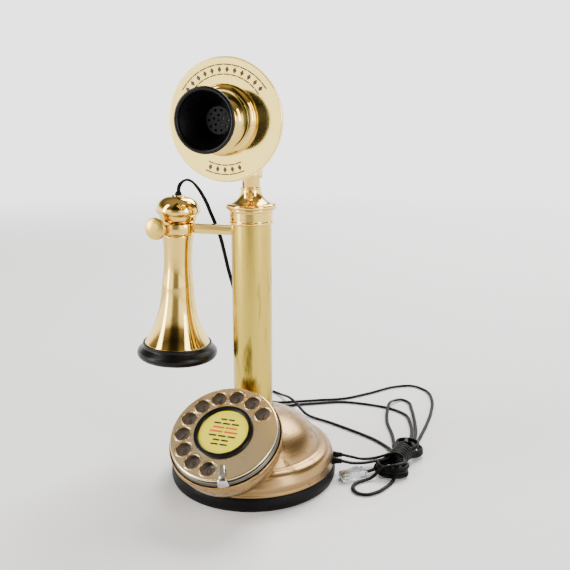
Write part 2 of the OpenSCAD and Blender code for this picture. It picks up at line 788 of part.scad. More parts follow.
wheel_bevel = 0.4;
hole_bevel = [0.7, 0.6];
module finger_wheel() {
  color("#dcb26f") on_dial() difference() {
    rotate_extrude() polygon([
      [shaft_r + run, -wheel_t], [wheel_r - wheel_bevel, -wheel_t], [wheel_r, -wheel_t + wheel_bevel],
      [wheel_r, -wheel_bevel], [wheel_r - wheel_bevel, 0], [shaft_r + run, 0]]);
    for (i = [0:9]) rotate([0, 0, hole_start + hole_step * i]) translate([hole_pitch_r, 0, 0]) {
      translate([0, 0, -wheel_t - eps]) cylinder(r = hole_r, h = wheel_t + 2 * eps);
      translate([0, 0, -hole_bevel[1]])
        cylinder(r1 = hole_r, r2 = hole_r + hole_bevel[0], h = hole_bevel[1] + eps);
    }
  }
}

ring_h = 2.2;
ring_bevel = 0.9;
card_play = 0.1;
card_t = 0.3;
window_z = 0.4;
window_t = 0.8;
module card_ring() {
  color("#17130f") on_dial() rotate_extrude() polygon([
    [card_r + card_play, 0], [card_ring_r, 0], [card_ring_r, ring_h - ring_bevel],
    [card_ring_r - ring_bevel, ring_h], [card_r + ring_bevel, ring_h],
    [card_r + card_play, window_z + window_t]]);
}

module number_card() {
  color("#e6d526") on_dial() cylinder(r = card_r, h = card_t);
}

module card_window() {
  color([0.9, 0.95, 1, 0.3]) on_dial() translate([0, 0, window_z]) cylinder(r = card_r, h = window_t);
}

shaft_end = 1.4;
hub_r = shaft_r + 3;
hub_h = 2.1;
module dial_shaft() {
  color("#a9a9a6") on_dial() {
    translate([0, 0, mech_z - shaft_end]) cylinder(r = shaft_r, h = shaft_end - mech_z);
    translate([0, 0, -wheel_t - hub_h]) cylinder(r = hub_r, h = hub_h);
  }
}

// parts of the module that a tooth stands out and sinks in
tooth_out = 0.8;
tooth_in = 1.15;
// parts of the pitch where a tooth's flank starts at its root and ends at its tip
tooth_root = 0.3;
tooth_tip = 0.13;
// a plain spur gear outline: trapezoid teeth on a root circle
module gear_outline(teeth, m) {
  pitch_r = m * teeth / 2;
  tip_r = pitch_r + tooth_out * m;
  root_r = pitch_r - tooth_in * m;
  step = 360 / teeth;
  polygon([for (i = [0:teeth - 1], q = [[0.5, root_r], [tooth_root, root_r], [tooth_tip, tip_r],
    [-tooth_tip, tip_r], [-tooth_root, root_r]]) let (a = step * (i - q[0])) q[1] * [cos(a), sin(a)]]);
}

gear_windows = 5;
gear_window_r = 3.6;
gear_window_ring_r = 11;
module main_gear() {
  color("#c9a24f") on_dial() translate([0, 0, gear_z]) linear_extrude(gear_t) difference() {
    gear_outline(gear_teeth, tooth_m);
    circle(r = shaft_r + run);
    for (i = [1:gear_windows]) rotate(360 * i / gear_windows) translate([gear_window_ring_r, 0])
      circle(r = gear_window_r);
  }
}

cam_t = 1.4;
notches = 10;
notch_r = 1.3;
notch_out = 0.6;
notch_start = -150;
notch_step = 18;
module impulse_cam() {
  color("#dedbd2") on_dial() translate([0, 0, cam_z]) linear_extrude(cam_t) difference() {
    circle(r = cam_r);
    circle(r = shaft_r + run);
    for (i = [0:notches - 1]) rotate(notch_start + notch_step * i) translate([cam_r + notch_out, 0])
      circle(r = notch_r);
  }
}

// the pinion stands a little proud of the gear on both faces
pinion_proud = 0.3;
pinion_end = 0.6;

module pinion() {
  color("#c9a24f") on_dial() translate([pinion_x, 0, 0]) {
    translate([0, 0, gear_z - pinion_proud]) linear_extrude(gear_t + 2 * pinion_proud)
      rotate(180 / pinion_teeth) gear_outline(pinion_teeth, tooth_m);
    translate([0, 0, wormwheel_z]) cylinder(r = wormwheel_r, h = wormwheel_t);
    translate([0, 0, mech_z - pinion_end]) cylinder(r = pinion_shaft_r, h = frame_floor - mech_z);
  }
}

// the governor: its shaft's ends, its worm, and the weights on their hub inside the cup
governor_tail = 9;
governor_nose = 5.8;
worm_r = 1.7;
worm_h = 10;
weight_hub_r = 1.8;
weight_hub_h = 3;
weight_hub_z = 1;
weight_size = [1.6, 2.2, 2.4];
weight_out = 1.1;
weight_z = 1.2;
module governor() {
  color("#b9b9b5") on_dial() translate([pinion_x + governor_x, 0, wormwheel_z + wormwheel_t / 2])
    rotate([-90, 0, 0]) {
      translate([0, 0, -governor_tail])
        cylinder(r = governor_shaft_r, h = governor_tail + governor_cup_y + governor_nose);
      translate([0, 0, -worm_h / 2]) cylinder(r = worm_r, h = worm_h);
      translate([0, 0, governor_cup_y + weight_hub_z]) cylinder(r = weight_hub_r, h = weight_hub_h);
      for (s = [0, 180]) rotate([0, 0, s])
        translate([weight_out, -weight_size[1] / 2, governor_cup_y + weight_z]) cube(weight_size);
    }
}

// ---- hook switch ----
hook_pin_x = 3;
frame_plate_t = 1.4;
frame_plate_y = arm_t / 2 + gap;
hook_pin_r = 1.6;
// the frame: two cheeks that hang from a ring under the collar, joined by a foot
frame_drop = 24;
frame_low = hook_z - frame_drop;
cheek_x = -7;
cheek_w = 19;
cheek_foot_x = 8;
cheek_foot_w = 3.4;
cheek_foot_t = 1.6;
frame_ring_t = 3;
frame_ring_drop = 2;
module hook_frame() {
  color("#b9b9b5") difference() {
    union() {
      intersection() {
        for (s = [0, 1]) mirror([0, s, 0]) translate([cheek_x, frame_plate_y, frame_low])
          cube([cheek_w, frame_plate_t, collar_z - frame_low - frame_ring_drop + eps]);
        translate([0, 0, frame_low - eps]) cylinder(r = column_in_r - run, h = cut);
      }
      translate([cheek_foot_x, -frame_plate_y - frame_plate_t, frame_low])
        cube([cheek_foot_w, 2 * (frame_plate_y + frame_plate_t), cheek_foot_t]);
      translate([0, 0, collar_z - frame_ring_drop]) difference() {
        cylinder(r = column_in_r - run, h = frame_ring_t);
        translate([-column_r, -frame_plate_y, -eps])
          cube([2 * column_r, 2 * frame_plate_y, frame_ring_t + 2 * eps]);
      }
    }
    translate([hook_pin_x, 0, hook_z]) rotate([90, 0, 0])
      cylinder(r = hook_pin_r + run, h = 2 * column_r, center = true);
  }
}

hook_pin_end = 0.5;
module hook_pin() {
  color("#a9a9a6") translate([hook_pin_x, 0, hook_z]) rotate([90, 0, 0])
    cylinder(r = hook_pin_r, h = 2 * (frame_plate_y + frame_plate_t + hook_pin_end), center = true);
}

// four contact leaves side by side, held between five insulators
leaves = 4;
leaf_x0 = 2;
leaf_pitch = 2.2;
leaf_t = 0.5;
leaf_w = 4.4;
leaf_len = 32;
leaf_low = frame_low - leaf_len - 2;
module contact_springs() {
  color("#d8c07a") for (i = [0:leaves - 1]) translate([leaf_x0 + leaf_pitch * i, -leaf_w / 2, leaf_low])
    cube([leaf_t, leaf_w, leaf_len]);
}

insulator_w = 5.2;
insulator_h = 9;
insulator_z = leaf_low + 2;
module spring_insulators() {
  color("#5a2d1c") for (i = [0:leaves])
    translate([leaf_x0 + leaf_pitch * (i - 1) + leaf_t, -insulator_w / 2, insulator_z])
      cube([leaf_pitch - leaf_t, insulator_w, insulator_h]);
}

spring_x = 9.4;
coil_r = 2;
coil_wall = 0.7;
coil_gap = 0.2;
module hook_spring() {
  color("#8a8d90") translate([spring_x, 0, frame_low + cheek_foot_t]) difference() {
    cylinder(r = coil_r, h = frame_drop - arm_h / 2 - cheek_foot_t - coil_gap);
    translate([0, 0, -eps]) cylinder(r = coil_r - coil_wall, h = frame_drop);
  }
}

prong_y = waist_r + waist_gap;
knob_past = 9.4;
knob_x = hang_x + knob_past;
prong_past = 3;
prong_end = knob_past + prong_past;
arm_tail = 11.5;
module hook_lever() {
  color("#dcb96f") difference() {
    union() {
      translate([-hang_x + prong_y, -arm_t / 2, hook_z - arm_h / 2])
        cube([hang_x - prong_y + arm_tail, arm_t, arm_h]);
      translate([-hang_x, 0, hook_z - arm_h / 2]) linear_extrude(arm_h) difference() {
        union() {
          circle(r = prong_y + prong_t);
          translate([-prong_end, -prong_y - prong_t]) square([prong_end, 2 * (prong_y + prong_t)]);
        }
        circle(r = prong_y);
        translate([-cut, -prong_y]) square([cut, 2 * prong_y]);
        translate([-cut - prong_end, -cut / 2]) square([cut, cut]);
      }
    }
    translate([hook_pin_x, 0, hook_z]) rotate([90, 0, 0])
      cylinder(r = hook_pin_r + run, h = arm_t + 2 * eps, center = true);
  }
}

knob_t = 7.2;
knob_lift = 1;
// the knob narrows to a neck against its prong
knob_neck = [3, 1.6];
knob_round = 0.8;
module hook_knobs() {
  knob_face = prong_y + prong_t;
  color("#e3c27c") for (s = [0, 1]) mirror([0, s, 0])
    translate([-knob_x, -knob_face, hook_z + knob_lift]) rotate([90, 0, 0])
      rotate_extrude() polygon([[0, 0], [knob_r - knob_neck[0], 0], [knob_r - knob_round, knob_neck[1]],
        [knob_r, 2 * knob_neck[1]], [knob_r, knob_t - knob_round], [knob_r - knob_round, knob_t],
        [0, knob_t]]);
}

// ---- receiver, built about its own axis with the waist at the origin ----
module on_receiver() {
  translate([-hang_x, 0, hook_z]) rotate([0, lean, 0]) children();
}

horn_wall = 1.4;
horn_bore_r = 2.2;
seat_gap = 0.5;
neck_len = 6;
// the neck's step below the fork
neck_step = [0.9, 0.6];
// how far the horn's mouth stays inside the ear ring
mouth_lap = 4;
// the horn's neck, how far it draws in below that, and how late it flares
horn_neck_r = 12.4;
horn_draw = 1.1;
horn_draw_part = 0.45;
horn_flare = 4.1;
// radius of the horn at a depth below the waist, from 0 at its neck to 1 at its mouth
function horn_line(t) = horn_neck_r - horn_draw * sin(180 * min(1, t / horn_draw_part))
  + (horn_r - horn_neck_r) * pow(t, horn_flare);
horn_steps = 12;
function horn_pts(in, z0) = [for (i = [0:horn_steps]) let (t = i / horn_steps)
  [horn_line(t) - in, -z0 - (horn_len - mouth_lap - z0) * t]];

module receiver_horn() {
  color("#e0bd74") on_receiver() difference() {
    rotate_extrude() polygon(concat(
      [[0, arm_h / 2 + seat_gap], [waist_r, arm_h / 2 + seat_gap], [waist_r, -arm_h / 2 - 1],
       [waist_r + neck_step[0], -neck_len - neck_step[1]]],
      horn_pts(0, neck_len + 1), [[0, -horn_len + mouth_lap]]));
    rotate_extrude() polygon(concat([[0, -2 * neck_len]], horn_pts(horn_wall, 2 * neck_len),
      [[horn_line(1) - horn_wall, -horn_len], [0, -horn_len]]));
    translate([0, 0, -horn_len]) cylinder(r = horn_bore_r, h = horn_len + cut);
  }
}

cap_base = arm_h / 2 + seat_gap;
rcap_h = 21.6;
// the cap's underside: how far each corner lies inside its widest ring, and how high it stands
rcap_under = [[4.4, 0.9], [3.2, 2.8], [2.4, 5.9], [0.6, 7.4], [0, 9.6]];
rcap_dome_r = 6;
rcap_dome_z = 9.8;
module receiver_cap() {
  color("#e0bd74") on_receiver() rotate_extrude() polygon(concat(
    [[horn_bore_r, cap_base], [waist_r, cap_base]],
    [for (p = rcap_under) [rcap_r - p[0], cap_base + p[1]]],
    arc_pts(rcap_dome_r, cap_base + rcap_dome_z, rcap_r - rcap_dome_r, rcap_h - rcap_dome_z, 4, 90, 8),
    [[horn_bore_r, cap_base + rcap_h]]));
}

bush_h = 2.6;
bush_depth = 5;
bush_flange_r = 2.9;
bush_tip_r = 2.1;
module receiver_bush() {
  color("#1c1a18") on_receiver() translate([0, 0, cap_base + rcap_h]) {
    translate([0, 0, -bush_depth]) cylinder(r = horn_bore_r - run, h = bush_depth + eps);
    cylinder(r1 = bush_flange_r, r2 = bush_tip_r, h = bush_h);
  }
}

ear_h = 13;
ear_hole_r = 10;
// the listening face is dished: its hole and its ring stand this far behind the rim
ear_dish = [[ear_hole_r, 2.4], [22, 0.8]];
// the ring's outside: how far each corner lies inside its widest line, and how high it stands
ear_line = [[5, 0], [1.6, 1], [0, 3.6], [0.4, 6], [2.2, 7.6]];
// the sleeve over the horn's mouth: how far it stands out, and how high
ear_sleeve = [[1.8, 10.4], [1.2, ear_h]];
ear_pocket_r = 24.6;
ear_floor = 5;
module ear_ring() {
  z = -horn_len - ear_h + mouth_lap;
  mouth = horn_line(1);
  color("#1c1a18") on_receiver() rotate_extrude() polygon(concat(
    [for (p = ear_dish) [p[0], z + p[1]]],
    [for (p = ear_line) [ear_r - p[0], z + p[1]]],
    [for (p = ear_sleeve) [mouth + p[0], z + p[1]]],
    [[mouth + run, z + ear_h], [mouth + run, z + ear_h - mouth_lap], [ear_pocket_r, z + ear_h - mouth_lap],
     [ear_pocket_r, z + ear_floor], [ear_hole_r, z + ear_floor]]));
}

disc_t = 3;
disc_gap = 0.4;
magnet_r = 16;
magnet_h = 12;
module receiver_capsule() {
  color("#9a9a98") on_receiver() translate([0, 0, -horn_len - ear_h + mouth_lap + ear_floor + disc_gap]) {
    cylinder(r = ear_pocket_r - disc_gap, h = disc_t);
    translate([0, 0, disc_t - eps]) cylinder(r = magnet_r, h = magnet_h);
  }
}

// ---- cords ----
// one ring of points about a place on the route
function unit(v) = v / norm(v);
function tangent(p, i) = unit(p[min(i + 1, len(p) - 1)] - p[max(i - 1, 0)]);
function side(t) = abs(t[2]) > 0.9 ? unit(cross([0, 1, 0], t)) : unit(cross([0, 0, 1], t));
cord_sides = 8;
module cord(p, r = cord_d / 2) {
  n = len(p);
  rings = [for (i = [0:n - 1]) let (t = tangent(p, i), u = side(t), v = cross(t, u))
    for (k = [0:cord_sides - 1]) let (a = 360 * (k + 0.5) / cord_sides) p[i] + r * (cos(a) * u + sin(a) * v)];
  sides = [for (i = [0:n - 2], k = [0:cord_sides - 1]) let (a = i * cord_sides, b = (k + 1) % cord_sides)
    [a + k, a + cord_sides + k, a + cord_sides + b, a + b]];
  first = [for (k = [0:cord_sides - 1]) k];
  last = [for (k = [cord_sides - 1:-1:0]) (n - 1) * cord_sides + k];
  color("#161514") polyhedron(rings, concat(sides, [first], [last]));
}

// from the receiver's bush over to where the cord hangs free
cord_top_route = [
  [-61.4, 0, 230.4], [-60.6, 0, 234.6], [-57.6, 0, 238.2], [-53.7, 0, 239.8], [-49.8, 0.5, 238.6],
  [-46.3, 1.2, 235], [-43.3, 2.2, 230.6], [-41.1, 3.4, 226], [-39.3, 4.8, 221.4]
];
// down behind the column, over the base, across the table and into the hank
cord_drop_route = [
  [-39.2, 4.9, 221], [-37.2, 6.8, 214], [-34.7, 9, 206], [-31.4, 11.2, 195], [-28.9, 13.2, 182],
  [-26.4, 16, 166], [-22.6, 18.4, 149], [-17.6, 19.8, 128], [-13.4, 21, 106], [-11.6, 23, 86],
  [-12, 28, 69], [-13.4, 34.5, 57], [-16, 43.5, 46.5], [-19, 53, 36], [-22, 63.5, 24], [-25, 71, 11],
  [-29, 78, 3.2], [-38, 91, 1.8], [-50, 108, 1.8], [-61, 127, 1.8], [-65, 147, 1.8], [-59, 165, 1.8],
  [-45, 172, 1.8], [-31, 164, 2.6], [-18, 151, 5.6], [-6, 138, 5.4], [10, 122, 2.4], [36, 112, 1.8],
  [60, 101, 1.8], [84, 88, 1.8], [106, 75.5, 3.4]
];
// out of the hank, round the far side, back behind the column and home again
cord_far_route = [
  [121.8, 79, 3.4], [122.2, 97, 1.8], [123.4, 113, 1.8], [124.5, 132, 1.8], [125, 166, 1.8], [122, 199, 1.8],
  [113, 224, 1.8], [96, 235, 1.8], [78, 226, 1.8], [56, 199, 1.8], [34, 176, 1.8], [11, 164, 1.8],
  [-8, 154, 1.8], [-30, 144, 1.8], [-43, 146, 1.8], [-51, 141, 1.8], [-50, 132, 1.8], [-41, 127, 1.8],
  [-25, 134, 1.8], [-6, 145, 1.8], [12, 155, 1.8], [34, 166, 1.8], [60, 168, 1.8], [86, 164, 1.8],
  [102, 153, 1.8], [110, 133, 1.8], [114.4, 112, 1.8], [115.2, 97, 1.8], [114.8, 79, 3.4]
];
// from the hank to its gland
cord_home_route = [[103.6, 47, 8], [93, 41, 6.6], [84, 33.5, 8], [77, 26.6, 12], [69.7, 22.7, 14.6]];
// line cord: out of its gland to the hank
line_start_route = [
  [72.4, 11.5, 14.6], [80, 14.2, 12.8], [87, 21.5, 10.4], [94, 30.5, 8.6], [101.5, 38, 7.6]
];
// line cord: the loose loop on the hank's far side
line_loop_route = [
  [108, 79, 3.4], [98, 102, 1.8], [88, 130, 1.8], [84, 151, 3], [83, 167, 5.4], [85, 183, 3], [92, 192, 1.8],
  [100, 186, 1.8], [105, 171, 1.8], [110, 152, 1.8], [115, 130, 1.8], [118, 112, 1.8], [118.7, 97, 1.8],
  [118.3, 79, 3.4]
];
// line cord: the loose loop in front of the hank
line_front_route = [
  [116.4, 28, 3.4], [113.4, 14.7, 1.8], [109.7, 3.2, 1.8], [105, -5.8, 1.8], [98, -12, 1.8],
  [90.6, -11.6, 1.8], [85.4, -4.6, 1.8], [86.4, 3.4, 1.8], [91, 9.5, 1.8], [97, 14.5, 1.8], [105, 23, 3.4]
];
// line cord: out of the hank to its plug
line_plug_route = [[100.5, 36, 3.4], [96.5, 28, 3.3], [89.5, 20.5, 3.3]];

module receiver_cord_top() {
  cord(cord_top_route);
}

module receiver_cord() {
  cord(cord_drop_route);
  cord(cord_far_route);
  cord(cord_home_route);
}

module line_cord() {
  cord(line_start_route);
  cord(line_loop_route);
  cord(line_front_route);
  cord(line_plug_route);
}

hank_xy = [113.6, 50];
hank_turn = 80;
hank_len = 64;
hank_w = 30;
hank_h = 10;
// the turns that bind the hank's waist: their length along it, and their half width and height
wrap_len = 24;
wrap_w = 10.6;
wrap_h = 7.1;
module cord_hank() {
  color("#161514") translate([hank_xy[0], hank_xy[1], 0]) rotate([0, 0, hank_turn]) {
    linear_extrude(hank_h) union() {
      translate([-hank_len / 2 + hank_w / 2, -wrap_w]) square([hank_len - hank_w, 2 * wrap_w]);
      for (s = [-1, 1]) translate([s * (hank_len / 2 - hank_w / 2), 0]) circle(r = hank_w / 2);
    }
    translate([-wrap_len / 2, 0, wrap_h + gap]) rotate([0, 90, 0]) scale([wrap_h, wrap_w + gap, 1])
      cylinder(r = 1, h = wrap_len);
  }
}

plug_turn = 222;
plug_size = [21.5, 9.6, 6.6];
latch_x = 5;
latch_size = [14.5, 6, 1.2];
module line_plug() {
  plug_at = line_plug_route[len(line_plug_route) - 1];
  color([0.9, 0.93, 0.95, 0.5]) translate([plug_at[0], plug_at[1], 0]) rotate([0, 0, plug_turn]) union() {
    translate([0, -plug_size[1] / 2, 0]) cube(plug_size);
    translate([latch_x, -latch_size[1] / 2, plug_size[2] - eps]) cube(latch_size);
  }
}

module cord_glands() {
  color("#1c1a18") for (a = gland_angles) at_gland(a) {
    translate([0, 0, band_r - shell_wall - gland_grip]) cylinder(r = gland_r, h = shell_wall + gland_grip);
    translate([0, 0, band_r]) cylinder(r = gland_flange_r, h = gland_flange_t);
    translate([0, 0, band_r + gland_flange_t - eps])
      cylinder(r1 = gland_r + gap, r2 = cord_d / 2, h = gland_len);
  }
}

base_shell();
foot_ring();
bottom_plate();
felt_pad();
bottom_screws();
ballast();
circuit_board();
board_posts();
ringer();
terminal_block();
column_tube();
column_nut();
column_collar();
column_cap();
stem_clevis();
tilt_bolt();
tilt_nut();
dial_cup();
dial_frame();
number_plate();
finger_stop();
dial_screws();
mechanism_plate();
mechanism_posts();
main_spring();
pulse_contacts();
governor_cup();
finger_wheel();
card_ring();
number_card();
card_window();
dial_shaft();
main_gear();
impulse_cam();
pinion();
governor();
hook_frame();
hook_pin();
contact_springs();
spring_insulators();
hook_spring();
hook_lever();
hook_knobs();
receiver_horn();
receiver_cap();
ear_ring();
receiver_capsule();
receiver_bush();
receiver_cord_top();
transmitter_cup();
face_plate();
transmitter_dome();
mouthpiece();
carbon_capsule();
cup_screws();
cord_glands();
receiver_cord();
line_cord();
cord_hank();
line_plug();
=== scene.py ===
import json
import math

import bmesh
import bpy
from mathutils import Euler, Matrix, Vector

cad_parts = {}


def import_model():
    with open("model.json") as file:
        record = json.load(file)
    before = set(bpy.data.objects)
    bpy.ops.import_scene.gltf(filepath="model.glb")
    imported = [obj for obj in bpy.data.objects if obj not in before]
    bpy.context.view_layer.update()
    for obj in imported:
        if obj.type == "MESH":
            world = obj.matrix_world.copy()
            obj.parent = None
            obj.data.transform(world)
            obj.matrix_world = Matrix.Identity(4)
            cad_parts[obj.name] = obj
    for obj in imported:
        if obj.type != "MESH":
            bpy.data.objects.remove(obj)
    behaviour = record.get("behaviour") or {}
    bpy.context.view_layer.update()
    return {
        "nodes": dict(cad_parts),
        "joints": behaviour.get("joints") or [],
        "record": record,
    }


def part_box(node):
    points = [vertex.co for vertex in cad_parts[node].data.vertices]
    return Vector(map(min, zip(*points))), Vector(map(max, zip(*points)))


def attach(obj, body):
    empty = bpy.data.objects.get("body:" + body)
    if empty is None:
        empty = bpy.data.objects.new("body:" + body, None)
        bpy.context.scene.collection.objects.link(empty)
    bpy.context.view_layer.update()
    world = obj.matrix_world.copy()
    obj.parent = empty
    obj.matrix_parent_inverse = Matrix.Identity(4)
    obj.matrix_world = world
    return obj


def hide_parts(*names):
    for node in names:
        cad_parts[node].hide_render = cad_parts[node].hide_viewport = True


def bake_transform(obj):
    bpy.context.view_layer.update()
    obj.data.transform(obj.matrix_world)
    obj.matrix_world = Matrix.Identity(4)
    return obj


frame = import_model()

# ---------------------------------------------------------------- sizes, in millimetres, from the frame
MM = 0.001
SLOT = {part["node"]: part["material_slot"] for part in frame["record"]["subparts"]}
JOINT = {joint["name"]: joint for joint in frame["joints"]}


def span(node, axis):
    """The two ends of a CAD node along an axis."""
    low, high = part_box(node)
    return low[axis] / MM, high[axis] / MM


def radius_of(node, axis=0):
    """Half the width of a CAD node along an axis."""
    low, high = span(node, axis)
    return (high - low) / 2


foot_r, foot_h = radius_of("foot_ring"), span("foot_ring", 2)[1]
band_r, base_top = radius_of("base_shell"), span("base_shell", 2)[1]
column_r = radius_of("column_tube")
column_low, column_top = span("column_tube", 2)
collar_r, collar_low = radius_of("column_collar"), span("column_collar", 2)[0]
cap_r, cap_top = radius_of("column_cap"), span("column_cap", 2)[1]
face_r = radius_of("face_plate")
face_front, face_back = (-y for y in span("face_plate", 1))
face_z = sum(span("face_plate", 2)) / 2
dome_r, dome_front = radius_of("transmitter_dome"), -span("transmitter_dome", 1)[0]
mouth_r, mouth_front = radius_of("mouthpiece"), -span("mouthpiece", 1)[0]
wheel_r = radius_of("finger_wheel")
case_r = radius_of("dial_frame")
bowl_r = radius_of("dial_cup")
card_ring_r, card_r = radius_of("card_ring"), radius_of("number_card")
horn_r, ear_r = radius_of("receiver_horn"), radius_of("ear_ring", 1)
rcap_r = radius_of("receiver_cap")
hook_at = Vector(JOINT["hook_lift"]["pos_m"])
pivot_at = Vector(JOINT["head_tilt"]["pos_m"])
dial_at, dial_axis = Vector(JOINT["dial_spin"]["pos_m"]), Vector(JOINT["dial_spin"]["axis"])

# the finger holes of the wheel
hole_r, hole_pitch_r = 6.0, 31.5
hole_start, hole_step = math.radians(39.4), math.radians(25.35)
stop_angle = math.radians(-72)
wheel_t = 1.6
# the receiver hangs from its waist, and leans a little
hang_x, lean = 62.6, math.radians(2.4)
arm_h, waist_r, neck_r, horn_len, ear_h = 7.4, 11.3, 12.4, 99.5, 13.0
wall = 1.4

STAND = Matrix()
DIAL = Matrix.Translation(dial_at) @ Matrix.Rotation(math.atan2(-dial_axis.y, dial_axis.z), 4, "X")
HEAD = Matrix.Translation((0, 0, face_z * MM)) @ Matrix.Rotation(math.radians(90), 4, "X")
RECEIVER = Matrix.Translation((-hang_x * MM, 0, hook_at.z)) @ Matrix.Rotation(lean, 4, "Y")


# ---------------------------------------------------------------- nodes and finishes
def lin(code, alpha=1.0):
    """An sRGB hex colour as linear red, green, blue and alpha."""
    parts = [int(code[i:i + 2], 16) / 255 for i in (1, 3, 5)]
    return [c / 12.92 if c <= 0.04045 else ((c + 0.055) / 1.055) ** 2.4 for c in parts] + [alpha]


def add(tree, kind, inputs=None, **settings):
    """Adds a node with its settings. Each input is a constant, a socket to link, or a list of sockets."""
    made = tree.nodes.new(kind)
    for key, value in settings.items():
        setattr(made, key, value)
    for key, value in (inputs or {}).items():
        linked = isinstance(value, list) and isinstance(value[0], bpy.types.NodeSocket)
        for item in value if linked else [value]:
            if isinstance(item, bpy.types.NodeSocket):
                tree.links.new(item, made.inputs[key])
            else:
                made.inputs[key].default_value = item
    return made


def finish(name, colour, worn, rough, grain, place=None, stretch=(1, 1, 1), run=(1, 1, 1), patch=18.0,
           cover=0.35, worn_rough=0.14, relief=0.004, **sockets):
    """A real finish: fine grain in its relief and roughness, and larger worn patches in its colour.

    grain and patch are the real spacings in millimetres, stretch and run draw them out along an axis, cover is
    how far the patches spread, and relief is the depth of the grain in millimetres. With a place, the grain runs
    in turned rings about its axis."""
    material = bpy.data.materials.new(name)
    material.use_nodes = True
    tree = material.node_tree
    shader = tree.nodes["Principled BSDF"]
    coords = add(tree, "ShaderNodeTexCoord").outputs["Object"]
    if place is None:
        pattern = add(tree, "ShaderNodeMapping", {"Vector": coords, "Scale": stretch}).outputs[0]
    else:
        home = place.inverted()
        turned = add(tree, "ShaderNodeMapping", {
            "Vector": coords, "Location": home.to_translation(), "Rotation": home.to_euler()}).outputs[0]
        across = add(tree, "ShaderNodeVectorMath", {0: turned, 1: (1, 1, 0)}, operation="MULTIPLY").outputs[0]
        out = add(tree, "ShaderNodeVectorMath", {0: across}, operation="LENGTH").outputs["Value"]
        up = add(tree, "ShaderNodeSeparateXYZ", {0: turned}).outputs[2]
        pattern = add(tree, "ShaderNodeCombineXYZ", {0: out, 1: up}).outputs[0]
    fine = add(tree, "ShaderNodeTexNoise", {
        "Vector": pattern, "Scale": 1 / (grain * MM), "Detail": 3.0}).outputs[0]
    drawn = add(tree, "ShaderNodeMapping", {"Vector": coords, "Scale": run}).outputs[0]
    broad = add(tree, "ShaderNodeTexNoise", {
        "Vector": drawn, "Scale": 1 / (patch * MM), "Detail": 7.0, "Roughness": 0.6,
        "Distortion": 0.3}).outputs[0]
    edge = 0.66 - 0.26 * cover
    mask = add(tree, "ShaderNodeMapRange", {
        "Value": broad, "From Min": edge, "From Max": edge + 0.2, "To Max": 1.0},
        interpolation_type="SMOOTHSTEP")
    tint = add(tree, "ShaderNodeMix", {0: mask.outputs[0], 6: lin(colour), 7: lin(worn)}, data_type="RGBA")
    tree.links.new(tint.outputs[2], shader.inputs["Base Color"])
    lines = add(tree, "ShaderNodeMapRange", {
        "Value": fine, "From Min": 0.3, "From Max": 0.7, "To Min": rough[0], "To Max": rough[1]}).outputs[0]
    dulled = add(tree, "ShaderNodeMath", {0: mask.outputs[0], 1: worn_rough, 2: lines},
                 operation="MULTIPLY_ADD")
    tree.links.new(dulled.outputs[0], shader.inputs["Roughness"])
    bump = add(tree, "ShaderNodeBump", {"Strength": 0.6, "Distance": relief * MM, "Height": fine})
    tree.links.new(bump.outputs[0], shader.inputs["Normal"])
    for key, value in sockets.items():
        shader.inputs[key.replace("_", " ")].default_value = value
    return material


def spun_brass(name, place):
    """Brass spun on a lathe and buffed: near-mirror gold, faint rings about its axis, soft brown tarnish."""
    return finish(name, "#e8c468", "#a07a3e", (0.05, 0.13), 0.5, place, patch=26, cover=0.3, relief=0.0008,
                  Metallic=1.0)


